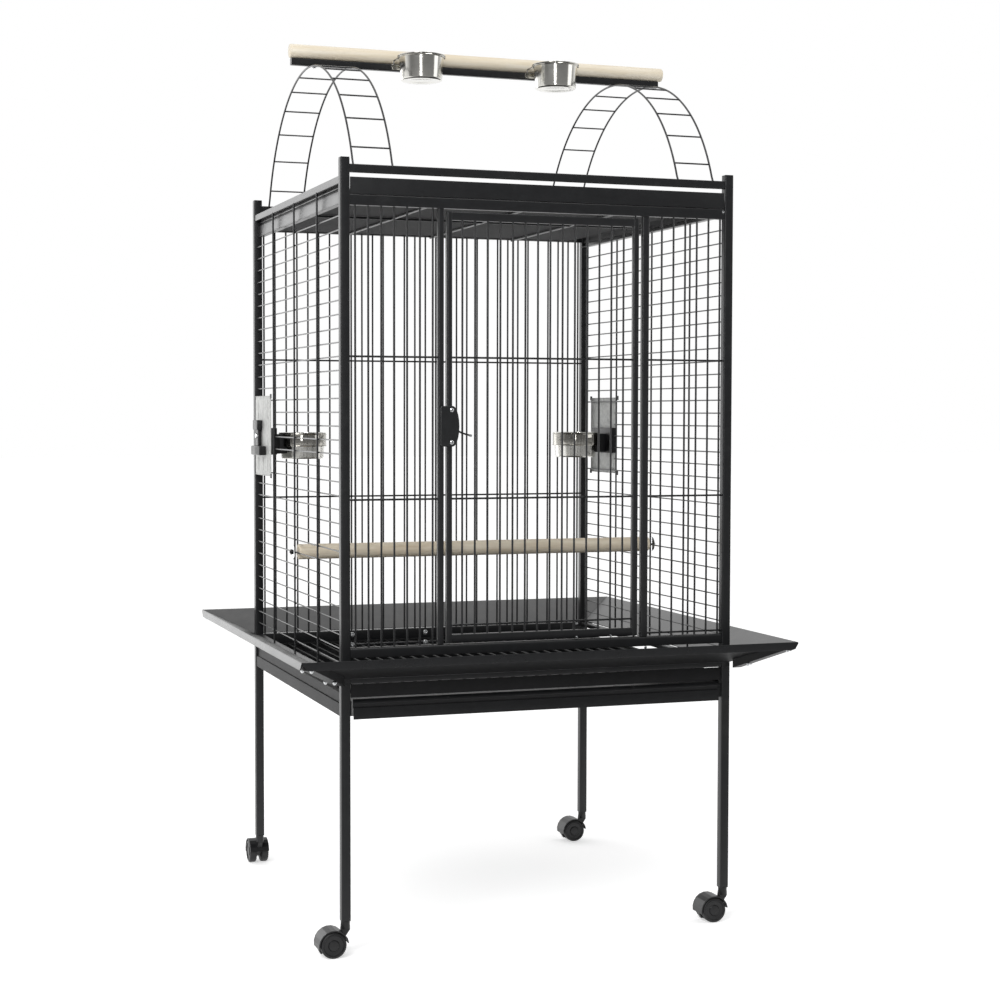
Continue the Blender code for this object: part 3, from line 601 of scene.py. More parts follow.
@dataclass(frozen=True)
class Metal(Finish):
    """Bare metal with level polishing lines."""

    metal: float = 1.0
    relief: Pair = (0.2, 0.0002)
    depth: float = 0.10

    def _look(self, g: Graph) -> tuple[Any, Any, Any]:
        """Adds a tone that drifts, an uneven gloss and the polishing lines.

        Args:
            g: the material's graph.

        Returns:
            Its colour, roughness and height.
        """
        brush = g.group(Effects.brushing(), in_Depth=self.depth)
        tone = g.spread(brush["Tone"], 0.35, 0.65)
        rough = g.spread(brush["Tone"], 0.3, 0.7, (self.rough * 0.75, self.rough * 1.3))
        return g.blend(tone, self.tone, self.second), rough, brush["Height"]


@dataclass(frozen=True)
class Spangle(Finish):
    """Galvanised sheet: small zinc crystals in slightly different greys."""

    metal: float = 0.4
    relief: Pair = (0.2, 0.0004)

    def _look(self, g: Graph) -> tuple[Any, Any, Any]:
        """Adds the zinc crystals from cells, with a faint ripple.

        Args:
            g: the material's graph.

        Returns:
            Its colour, roughness and height.
        """
        cells = g.add("ShaderNodeTexVoronoi", in_Vector=g.place(), in_Scale=170.0)
        part = g.add("ShaderNodeSeparateColor", in_Color=cells.outputs["Color"]).outputs
        colour = g.blend(part["Red"], self.tone, self.second)
        rough = g.spread(part["Green"], 0.0, 1.0, (self.rough * 0.85, self.rough * 1.2))
        return colour, rough, g.group(Effects.peel(), in_Ripple_Size=90.0, in_Ripple=0.2)["Height"]


@dataclass(frozen=True)
class Timber(Finish):
    """Pale turned wood with long grain."""

    relief: Pair = (0.35, 0.0005)

    def _look(self, g: Graph) -> tuple[Any, Any, Any]:
        """Adds the streaks and fibres along the dowel.

        Args:
            g: the material's graph.

        Returns:
            Its colour, roughness and height.
        """
        grain = g.group(Effects.grain())
        colour = g.blend(g.spread(grain["Streak"], 0.38, 0.66), self.tone, self.second)
        rough = g.spread(grain["Height"], 0.3, 0.7, (self.rough - 0.06, self.rough + 0.08))
        return colour, rough, grain["Height"]


POWDER = Finish("satin_powder_coat", "black_powder_coat", (0.0080, 0.0084, 0.0094),
                (0.0115, 0.0119, 0.0130), 0.34, ior=1.48, ripple=0.5, dust=0.08, scuffs=0.05)
WIRE_COAT = Finish("wire_powder_coat", "black_powder_coat", (0.0070, 0.0074, 0.0084),
                   (0.0110, 0.0114, 0.0126), 0.30, ior=1.60, ripple_size=700.0, dust=0.05)
PAN_COAT = Finish("pan_matt_coat", "black_powder_coat", (0.012, 0.012, 0.013),
                  (0.018, 0.018, 0.019), 0.75, ior=1.3, ripple=0.7, dust=0.2)
GUARD_COAT = Finish("guard_satin_coat", "black_powder_coat", (0.0060, 0.0063, 0.0072),
                    (0.0090, 0.0093, 0.0104), 0.28, ior=1.60, ripple=0.6, dust=0.10)
# A darker, duller copy of the black coat: painted shade for recesses, undersides and faces that
# catch too much side light.
PAINTED_SHADE_COAT = Finish("painted_shade_satin_coat", "black_powder_coat", (0.0045, 0.0047, 0.0053),
                    (0.0075, 0.0077, 0.0084), 0.55, ior=1.35, ripple=0.6, dust=0.04)
PLASTIC = Finish("black_moulded_plastic", "black_plastic", (0.0038, 0.0038, 0.0045),
                 (0.0062, 0.0062, 0.0070), 0.36, ripple_size=900.0, ripple=0.3, scuffs=0.06)
TYRE = Finish("caster_tread", "black_plastic", (0.0045, 0.0045, 0.0052),
              (0.0075, 0.0075, 0.0082), 0.5, ripple_size=600.0, ripple=0.5, dust=0.06, scuffs=0.15)
STEEL = Metal("polished_stainless", "stainless_steel", (0.70, 0.69, 0.65),
              (0.78, 0.77, 0.73), 0.14)
HOOP_STEEL = Metal("hoop_steel", "stainless_steel", (0.50, 0.485, 0.445),
                   (0.56, 0.545, 0.505), 0.10, depth=0.03)
ZINC = Metal("bright_zinc", "stainless_steel", (0.58, 0.59, 0.60), (0.70, 0.71, 0.72), 0.16)
SHEET_ZINC = Spangle("spangled_zinc", "galvanised_sheet", (0.44, 0.445, 0.435),
                     (0.54, 0.545, 0.53), 0.55)
WOOD = Timber("pale_turned_wood", "turned_wood", (0.80, 0.74, 0.625), (0.70, 0.61, 0.46), 0.55)
WOOD_DARK = Timber("inner_perch_wood", "turned_wood", (0.82, 0.74, 0.60), (0.66, 0.55, 0.40), 0.6)


@dataclass(frozen=True)
class Lamp:
    """One soft box: its place, the point that it faces, its width and height, and its watts."""

    name: str
    place: Triple
    aim: Triple
    size: Pair
    power: float

    def light(self) -> None:
        """Hangs the box, out of the camera's sight."""
        data = bpy.data.lights.new(self.name, "AREA")
        data.shape = "RECTANGLE"
        data.size, data.size_y = self.size
        data.energy = self.power
        lamp = bpy.data.objects.new(self.name, data)
        lamp.location = self.place
        way = Vector(self.aim) - Vector(self.place)
        lamp.rotation_euler = way.to_track_quat("-Z", "Y").to_euler()
        lamp.visible_camera = False
        bpy.context.scene.collection.objects.link(lamp)


@dataclass
class Studio:
    """Camera, floor, lamps and surroundings."""

    place: Triple = (-1.2948, -3.8309, 1.0288)
    yaw: float = 0.33737
    pitch: float = -0.04558
    roll: float = 0.002026
    lens: float = 67.9934
    front_glow: float = 0.20
    back_glow: float = 1.0
    floor_reach: float = 40.0
    floor_lift: float = 0.50
    lamps: tuple[Lamp, ...] = (
        Lamp("key_box", (-2.6, -3.0, 3.4), (0.0, 0.0, 1.0), (1.6, 1.6), 105.0),
        Lamp("side_box", (-1.75, 3.7, 1.3), (-0.3, 0.0, 1.0), (1.9, 2.8), 18.0),
        Lamp("strip_box", (-2.0, -5.2, 1.9), (0.0, 0.0, 1.5), (0.56, 2.4), 35.0),
        Lamp("fill_box", (3.2, -1.6, 2.0), (0.0, 0.0, 0.9), (1.6, 1.6), 10.0),
        Lamp("top_strip", (0.45, -0.95, 3.3), (0.0, -0.4, 0.6), (0.9, 0.5), 9.0),
    )

    def camera(self) -> None:
        """Sets the camera at the height and angle of the view."""
        cy, sy = math.cos(self.yaw), math.sin(self.yaw)
        cp, sp = math.cos(self.pitch), math.sin(self.pitch)
        ahead = Vector((sy * cp, cy * cp, sp))
        right = Vector((cy, -sy, 0.0))
        up = right.cross(ahead)
        r = math.cos(self.roll) * right + math.sin(self.roll) * up
        u = -math.sin(self.roll) * right + math.cos(self.roll) * up
        data = bpy.data.cameras.new("view")
        data.sensor_width = 36.0
        data.lens = self.lens
        data.clip_end = 200.0
        eye = bpy.data.objects.new("view", data)
        turn = Matrix((r, u, -ahead)).transposed().to_4x4()
        eye.matrix_world = Matrix.Translation(Vector(self.place)) @ turn
        bpy.context.scene.collection.objects.link(eye)
        bpy.context.scene.camera = eye

    def world(self) -> None:
        """White towards the back, dimmer towards the front, and plain white to the camera."""
        made = bpy.data.worlds.new("studio")
        made.use_nodes = True
        g = Graph(made.node_tree)
        sockets = made.node_tree.nodes["Background"].inputs
        way = g.parts(g.add("ShaderNodeTexCoord").outputs["Generated"])
        glow = g.spread(way["Y"], -0.25, 0.30, (self.front_glow, self.back_glow))
        glow = g.math("MAXIMUM", glow, g.spread(way["Z"], 0.25, 0.9, (0.0, 0.55)))
        path = g.add("ShaderNodeLightPath").outputs
        g.join(g.math("MAXIMUM", glow, path["Is Camera Ray"]), sockets["Strength"])
        sockets["Color"].default_value = (1.0, 1.0, 1.0, 1.0)
        bpy.context.scene.world = made

    def floor(self) -> None:
        """A plain white floor that keeps the cage's shadow.

        The camera sees it lifted to white, and so do reflections of the part behind the cage.
        The part in front of the cage is greyer in reflections.
        """
        mesh = bpy.data.meshes.new("studio_floor")
        r = self.floor_reach
        ring = [(-r, -r, 0.0), (r, -r, 0.0), (r, r, 0.0), (-r, r, 0.0)]
        mesh.from_pydata(ring, [], [(0, 1, 2, 3)])
        plane = bpy.data.objects.new("studio_floor", mesh)
        bpy.context.scene.collection.objects.link(plane)
        made = bpy.data.materials.new("studio_floor")
        made.use_nodes = True
        g = Graph(made.node_tree)
        shader = made.node_tree.nodes["Principled BSDF"]
        shader.inputs["Roughness"].default_value = 0.9
        shader.inputs["Specular IOR Level"].default_value = 0.0
        path = g.add("ShaderNodeLightPath").outputs
        far = g.spread(g.parts(g.place())["Y"], -1.2, -0.2)
        behind = g.times(path["Is Glossy Ray"], far)
        ahead = g.math("SUBTRACT", path["Is Glossy Ray"], behind)
        seen = g.math("MAXIMUM", path["Is Camera Ray"], behind)
        g.join(g.blend(ahead, (0.86, 0.86, 0.86), (0.40, 0.40, 0.40)), shader.inputs["Base Color"])
        lift = g.add("ShaderNodeEmission", in_Strength=self.floor_lift)
        none = g.add("ShaderNodeEmission", in_Strength=0.0)
        pick = g.add("ShaderNodeMixShader", in_0=seen, in_1=none.outputs[0], in_2=lift.outputs[0])
        total = g.add("ShaderNodeAddShader", in_0=shader.outputs[0], in_1=pick.outputs[0])
        g.join(total.outputs[0], made.node_tree.nodes["Material Output"].inputs["Surface"])
        mesh.materials.append(made)

    def build(self) -> None:
        """Sets up the whole studio."""
        bpy.context.scene.view_settings.view_transform = "Standard"
        self.camera()
        self.world()
        self.floor()
        for lamp in self.lamps:
            lamp.light()
        LOG.info("studio is set")


def about(middle: float, half: float) -> Pair:
    """Gives the ends of a span from its middle and half its length."""
    return middle - half, middle + half


def bead(shape: Shape, at: Triple, size: float) -> None:
    """Adds a small rounded weld bead.

    Args:
        shape: to add it to.
        at: its middle.
        size: its radius.
    """
    cut = size * 0.7
    profile = [(0.0, -size), (cut, -cut), (size, 0.0), (cut, cut), (0.0, size)]
    shape.lathe(profile, at, Axis.Z, 6)


def screw(shape: Shape, at: Triple, axis: Axis, out: float, radius: float, high: float) -> None:
    """Adds a domed screw head that stands on a face.

    Args:
        shape: to add it to.
        at: the middle of its foot.
        axis: the way that it points.
        out: 1 or -1 along that axis.
        radius, high: its size.
    """
    r, h = radius, out * high
    profile = [(0.0, 0.0), (r, 0.0), (r, h * 0.35), (r * 0.82, h * 0.8), (r * 0.35, h),
               (r * 0.3, h * 0.55), (0.0, h * 0.55)]
    shape.lathe(profile, at, axis, 14)


def hex_nut(shape: Shape, at: Triple, axis: Axis, radius: float, high: float) -> None:
    """Adds a six-sided nut that points back along an axis, with the end of its bolt.

    Args:
        shape: to add it to.
        at: the middle of its foot.
        axis: that it points against.
        radius, high: its size.
    """
    r, h = radius, -high
    shape.lathe([(0.0, 0.0), (r, 0.0), (r, h * 0.8), (r * 0.9, h), (0.0, h)], at, axis, 6)
    shape.lathe([(0.0, 0.0), (r * 0.5, 0.0), (r * 0.5, h * 1.35), (0.0, h * 1.5)], at, axis, 10)


def coat(node: str, finish: Finish) -> None:
    """Gives a solid that stays in view its finish.

    Args:
        node: the solid's name.
        finish: for all of it.
    """
    solid = frame["nodes"][node]
    solid.data.materials.clear()
    solid.data.materials.append(finish.material())
    for polygon in solid.data.polygons:
        polygon.material_index = 0
    LOG.info("%s keeps its solid, in %s", node, finish.name)


@dataclass
class Posts:
    """Corner posts and legs: rounded square tubes, and a plug in the top of each post."""

    radius: float = 0.0020
    plug: float = 0.0022
    plug_inset: float = 0.0004
    plug_soft: float = 0.0009

    def build(self) -> None:
        """Makes each post and leg over its solid."""
        for corner in Corner:
            for kind, plug in (("corner_post_", self.plug), ("stand_leg_", 0.0)):
                node = kind + corner.label
                low, high = extent(node)
                top, inset = high.z - plug, self.plug_inset
                finishes = [POWDER]
                shape = Shape()
                shape.tube(Axis.Z, (low.z, top), (low.x, high.x), (low.y, high.y), self.radius)
                if plug:
                    shape.finish = 1
                    shape.box((low.x + inset, high.x - inset), (low.y + inset, high.y - inset),
                              (top, high.z), self.plug_soft)
                    finishes.append(PLASTIC)
                shape.make(node + "_tube", "cage", finishes, [node])


@dataclass
class Rails:
    """Level tubes between the posts, and the stand's rails."""

    radius: float = 0.0017
    level: tuple[str, ...] = ("front_base_rail", "door_head_rail", "upper_front_rail",
                              "upper_back_rail", "stand_back_rail")
    sill_round: float = 0.0055
    sill_cut: float = 0.0015
    stand_z: Pair = (0.455, 0.500)
    stand_x: Pair = (0.0015, 0.0340)
    step_z: float = 0.4800
    step_in: float = 0.0034
    wall: float = 0.0020

    def build(self) -> None:
        """Makes the level tubes, the sill and the stand's folded side rails."""
        for node in self.level:
            low, high = extent(node)
            shape = Shape()
            shape.tube(Axis.X, (low.x, high.x), (low.y, high.y), (low.z, high.z), self.radius)
            shape.make(node + "_tube", "cage", (POWDER,), [node])
        self.sill()
        for side in Side:
            self.side_rail(side)

    def sill(self) -> None:
        """Makes the door's sill, whose front upper edge is well rounded."""
        low, high = extent("door_sill_rail")
        r, cut = self.sill_round, self.sill_cut
        outline = [(low.y + cut, low.z), (high.y - cut, low.z), (high.y, low.z + cut),
                   (high.y, high.z - cut), (high.y - cut, high.z),
                   *arc((low.y + r, high.z - r), r, 1, 2, 6), (low.y, low.z + cut)]
        shape = Shape()
        shape.prism(outline, Axis.X, (low.x, high.x))
        shape.make("door_sill_rail_tube", "cage", (POWDER,), ["door_sill_rail"])

    def side_rail(self, side: Side) -> None:
        """Makes one folded side rail of the stand, stepped halfway up its outer face.

        Args:
            side: of the cage.
        """
        x0, x1 = self.stand_x
        z0, z1 = self.stand_z
        w, step = self.wall, self.step_z
        x2, x3 = x0 + self.step_in, x0 + self.step_in + w
        outline = [(x1, z0), (x0 + 0.0015, z0), (x0, z0 + 0.0015), (x0, step - 0.0030),
                   (x0 + 0.0010, step - 0.0006), (x2, step), (x2, z1 - 0.0030),
                   (x0 + 0.0020, z1 - 0.0012), (x0 + 0.0024, z1), (x1, z1), (x1, z1 - w),
                   (x3, z1 - w), (x3, z0 + w), (x1, z0 + w)]
        shape = Shape(side.flip)
        shape.prism(outline, Axis.Y, (INSIDE, DEPTH - INSIDE))
        node = f"stand_{side.value}_rail"
        # The whole rail takes the darker coat: painted shade that dims the light its outer face
        # catches.
        shape.make(node + "_fold", "cage", (PAINTED_SHADE_COAT,), [node])


@dataclass
class Grid:
    """Sizes that the wire grids share."""

    wire: float = 0.0020
    bar_y: float = 0.0090
    cross_y: float = 0.0130
    bead: float = 0.0022
    stile: Pair = (0.003, 0.015)
    stile_round: float = 0.0022
    tube: Pair = (0.0015, 0.0165)
    tube_round: float = 0.0016
    sill_top: float = 0.5865
    head_low: float = 1.4185
    front_cross: Pair = (1.1364, 0.8658)

    def uprights(self, shape: Shape, places: Sequence[float], y: float, z: Pair) -> None:
        """Adds a round bar at each place."""
        for x in places:
            shape.bar(Axis.Z, z, x, y, self.wire)

    def levels(self, shape: Shape, heights: Sequence[float], x: Pair, y: float,
               places: Sequence[float] = ()) -> None:
        """Adds level wires, with a weld bead where each meets a bar.

        Args:
            shape: to add them to.
            heights: one for each wire.
            x, y: their ends and their depth.
            places: of the bars that they cross with a bead.
        """
        for z in heights:
            shape.bar(Axis.X, x, y, z, self.wire)
            for place in places:
                bead(shape, (place, (y + self.bar_y) / 2, z), self.bead)


@dataclass
class FixedPanels:
    """The back grid and the two fixed front grids."""

    grid: Grid = field(default_factory=Grid)
    pitch: float = 0.0254
    back_first: float = 0.0231
    back_bars: int = 31
    back_base: Pair = (0.5033, 0.5285)
    back_head: Pair = (1.4375, 1.4570)
    back_cross: Pair = (1.1495, 0.8389)
    low_cross: float = 0.5922
    left_first: float = 0.0301
    left_bars: int = 7
    left_jamb: Pair = (0.1917, 0.2035)
    right_first: float = 0.6579
    right_bars: int = 6
    right_jamb: Pair = (0.6145, 0.6290)

    def places(self, first: float, count: int) -> list[float]:
        """Gives the places of a row of bars."""
        return [first + i * self.pitch for i in range(count)]

    def back(self) -> None:
        """Makes the back grid with its two tubes."""
        g = self.grid
        ends = (INSIDE, WIDTH - INSIDE)
        shape = Shape()
        g.uprights(shape, self.places(self.back_first, self.back_bars), DEPTH - g.bar_y,
                   (self.back_base[1] - 2 * LAP, self.back_head[0] + 2 * LAP))
        g.levels(shape, self.back_cross, ends, DEPTH - g.cross_y)
        for z in (self.back_base, self.back_head):
            shape.tube(Axis.X, ends, (DEPTH - g.tube[1], DEPTH - g.tube[0]), z, g.tube_round)
        shape.make("back_grid", "cage", (WIRE_COAT,), ["back_panel"])

    def front(self) -> None:
        """Makes the grids left and right of the door."""
        g = self.grid
        z = (g.sill_top + GAP, g.head_low - GAP)
        left, right = self.left_jamb, self.right_jamb
        for name, first, count, jamb, x in (
            ("left", self.left_first, self.left_bars, left, (INSIDE, left[1])),
            ("right", self.right_first, self.right_bars, right, (right[0], WIDTH - INSIDE)),
        ):
            shape = Shape()
            places = self.places(first, count)
            g.uprights(shape, places, g.bar_y, z)
            g.levels(shape, (*g.front_cross, self.low_cross), x, g.cross_y, places)
            shape.tube(Axis.Z, z, jamb, g.stile, g.stile_round)
            shape.make(f"front_{name}_grid", "cage", (WIRE_COAT,), [f"front_{name}_panel"])

    def build(self) -> None:
        """Makes all three."""
        self.back()
        self.front()


@dataclass
class MainDoor:
    """The swing door with its latch."""

    grid: Grid = field(default_factory=Grid)
    x: Pair = (0.2095, 0.6070)
    stiles: Pair = (0.2203, 0.5955)
    top: Pair = (1.397, 1.413)
    bottom: Pair = (0.589, 0.605)
    low_cross: float = 0.622
    first: float = 0.2419
    pitch: float = 0.0257
    bars: int = 14
    hinge: Pair = (0.6010, 0.0090)
    pin: float = 0.0030
    pin_radius: float = 0.0018
    latch_z: float = 1.0050
    latch_x: Pair = (0.1932, 0.2302)
    latch_half: float = 0.0388
    latch_y: Pair = (-0.0105, -0.0075)
    bulge: float = 0.013
    corner: float = 0.004
    screws: tuple[Pair, Pair] = ((0.215, 0.974), (0.215, 1.036))
    screw_size: Pair = (0.0042, 0.0018)
    spacer: float = 0.0030
    lever: Pair = (0.210, 1.010)
    eye: Pair = (0.0031, 0.0062)
    eye_y: Pair = (-0.0072, 0.0027)
    wire: tuple[Triple, ...] = ((0.2140, -0.0028, 1.0070), (0.2240, -0.0030, 0.9990),
                                (0.2360, -0.0034, 0.9925), (0.2470, -0.0045, 0.9890),
                                (0.2545, -0.0054, 0.9870))
    wire_radius: float = 0.0018
    tip: tuple[Triple, Triple] = ((0.2515, -0.0051, 0.9878), (0.2562, -0.0055, 0.9866))
    tip_radius: float = 0.0024

    def leaf(self) -> None:
        """Makes the leaf: four tubes, the bars, the level wires and the hinge pins."""
        g = self.grid
        shape = Shape()
        places = [self.first + i * self.pitch for i in range(self.bars)]
        g.uprights(shape, places, g.bar_y, (self.bottom[1] - LAP, self.top[0] + LAP))
        inner = (self.stiles[0] - LAP, self.stiles[1] + LAP)
        g.levels(shape, (*g.front_cross, self.low_cross), inner, g.cross_y, places)
        z = (self.bottom[0], self.top[1])
        for stile in ((self.x[0], self.stiles[0]), (self.stiles[1], self.x[1])):
            shape.tube(Axis.Z, z, stile, g.stile, g.stile_round)
        deep = (g.stile[0] + 0.0002, g.stile[1] - 0.0002)
        for rail in (self.top, self.bottom):
            shape.tube(Axis.X, inner, deep, rail, g.stile_round)
        for ends in ((g.sill_top - self.pin, z[0] + LAP), (z[1] - LAP, g.head_low + self.pin)):
            shape.bar(Axis.Z, ends, *self.hinge, self.pin_radius, 12)
        shape.make("door_leaf", "door", (WIRE_COAT,), ["main_door"])

    def cover(self) -> None:
        """Makes the rounded cover plate on its spacers, and its two screws."""
        x0, x1 = self.latch_x
        half, bulge, r = self.latch_half, self.bulge, self.corner
        outline = [(x1 - bulge + bulge * c, self.latch_z + half * s * (1.0 - 0.03 * c))
                   for c, s in arc((0.0, 0.0), 1.0, -1, 1, 10)]
        outline += arc((x0 + r, self.latch_z + half - r), r, 1, 2, 4)
        outline += arc((x0 + r, self.latch_z - half + r), r, 2, 3, 4)
        shape = Shape()
        shape.prism(outline, Axis.Y, self.latch_y)
        for x, z in (*self.screws, self.lever):
            shape.bar(Axis.Y, (self.latch_y[1] - LAP, self.eye_y[1]), x, z, self.spacer, 14)
        shape.make("latch_plate", "door", (WIRE_COAT,), ["door_latch_cover"], soft=0.0008)
        heads = Shape()
        for x, z in self.screws:
            screw(heads, (x, self.latch_y[0] + 0.0001, z), Axis.Y, -1, *self.screw_size)
        heads.make("latch_screws", "door", (ZINC,))

    def handle(self) -> None:
        """Makes the lever: an eye round its spacer, a lug and a bent wire with a bright tip."""
        shape = Shape()
        x, z = self.lever
        r0, r1 = self.eye
        y0, y1 = self.eye_y
        eye = [(r0, y0), (r1, y0), (r1, y1), (r0, y1), (r0, y0)]
        shape.lathe(eye, (x, 0.0, z), Axis.Y, 20)
        shape.box((x - 0.013, x - 0.0045), (-0.0070, 0.0025), (z - 0.004, z + 0.003), 0.0008)
        shape.rod(self.wire, self.wire_radius)
        shape.finish = 1
        shape.rod(self.tip, self.tip_radius)
        shape.make("latch_handle", "door_latch", (POWDER, ZINC), ["door_latch_lever"])

    def build(self) -> None:
        """Makes the leaf, the cover plate and the lever."""
        self.leaf()
        self.cover()
        self.handle()


@dataclass
class SideGrids:
    """The two side grids: rows of thin wire behind three uprights."""

    grid: Grid = field(default_factory=Grid)
    rows: int = 33
    top_row: float = 1.4007
    pitch: float = 0.0264
    columns: tuple[float, float, float] = (0.197, 0.394, 0.591)
    column_x: float = 0.003
    doorway: Pair = (13, 19)
    row_x: float = 0.0064
    row_radius: float = 0.0014
    bead_x: float = 0.0050
    bead: float = 0.0019
    top: Pair = (1.4595, 1.4735)
    base: Pair = (0.5185, 0.5285)
    guide_x: Pair = (0.0105, 0.0150)
    guide_z: Pair = (1.4245, 1.4595)
    flange_x: float = 0.0220
    band_top: float = 1.4490
    strip_z: Pair = (1.4537, 1.4558)
    roll: float = 0.0012
    thin: float = 0.0004

    def guide(self, shape: Shape, ends: Pair) -> None:
        """Adds the pan's guide: an angle, a strip over it, a rolled edge, and a wall behind whose
        darker coat is painted shade in the recess.

        Args:
            shape: to add it to.
            ends: of the guide along Y.
        """
        x0, x1 = self.guide_x
        z0, z1 = self.guide_z
        x2, top = self.flange_x, self.band_top
        line = [(x0, z0), (x2 - 0.0005, z0), (x2, z0 + 0.0007), (x2 - 0.0005, z0 + 0.0014),
                (x0 + 0.0018, z0 + 0.0015), (x0 + 0.0018, top), (x0 + 0.0006, top),
                (x0, top - 0.0008)]
        shape.prism(line, Axis.Y, ends)
        shape.box((x0 + self.thin, x1), ends, self.strip_z, self.thin)
        shape.bar(Axis.Y, ends, x0 - self.thin, z0 + self.roll, self.roll)
        # The wall behind the strip is in the darker coat: painted shade in the recess under the
        # rail.
        shape.finish = 1
        shape.box((x1 - 0.0014, x1), ends, (z0 + 0.010, z1 + 0.0006), self.thin)

    def build(self) -> None:
        """Makes the left grid and its mirror image."""
        g = self.grid
        for side in Side:
            shape = Shape(side.flip)
            ends = (INSIDE, DEPTH - INSIDE)
            tall = (self.base[1] - 2 * LAP, self.top[0] + 2 * LAP)
            for y in self.columns:
                shape.bar(Axis.Z, tall, self.column_x, y, g.wire)
            for k in range(self.rows):
                z = self.top_row - k * self.pitch
                short = self.doorway[0] < k < self.doorway[1]
                last = self.columns[-1] + 2 * LAP if short else ends[1]
                shape.bar(Axis.Y, (ends[0], last), self.row_x, z, self.row_radius, 8)
                for y in self.columns:
                    bead(shape, (self.bead_x, y, z), self.bead)
            for z in (self.top, self.base):
                shape.tube(Axis.Y, ends, g.tube, z, g.tube_round)
            self.guide(shape, ends)
            name = side.value + "_side_"
            shape.make(name + "grid", "cage", (WIRE_COAT, PAINTED_SHADE_COAT), [name + "panel"])


@dataclass
class Cup:
    """A pressed cup: its radii at the rim, the side and the foot, and its heights."""

    radii: Triple
    base: float
    top: float
    roll: float
    wall: float = 0.0010
    bend: float = 0.0040
    inner_bend: float = 0.0038

    def profile(self) -> list[Pair]:
        """Draws the cup's outline, with rounded bends.

        Returns:
            Points (radius, height) from the middle of the foot over the rim to the inside.
        """
        rim, side, foot = self.radii
        base, top, roll, wall = self.base, self.top, self.roll, self.wall
        out, back = self.bend, self.inner_bend
        return [
            (0.0, base + 0.0006), (foot * 0.55, base + 0.0006), (foot * 0.6, base),
            *arc((foot - out, base + out), out, -1, 0, 4),
            (side, top - 2 * roll - 0.0004), *arc((rim - roll, top - roll), roll, -1, 1, 8),
            (side - wall + 0.0005, top - roll * 0.4), (side - wall, top - 2 * roll),
            *arc((foot - wall - back, base + 0.0050), back, 0, -1, 4),
            (foot * 0.55, base + 0.0012), (0.0, base + 0.0014)]

    def make(self, shape: Shape, place: Pair, node: str, body: str) -> None:
        """Makes the cup.

        Args:
            shape: an empty one.
            place: the cup's middle.
            node: its solid.
            body: that it rides on.
        """
        shape.lathe(self.profile(), (*place, 0.0), Axis.Z, 64)
        shape.make(node + "_pressing", body, (STEEL,), [node], sharp=50)


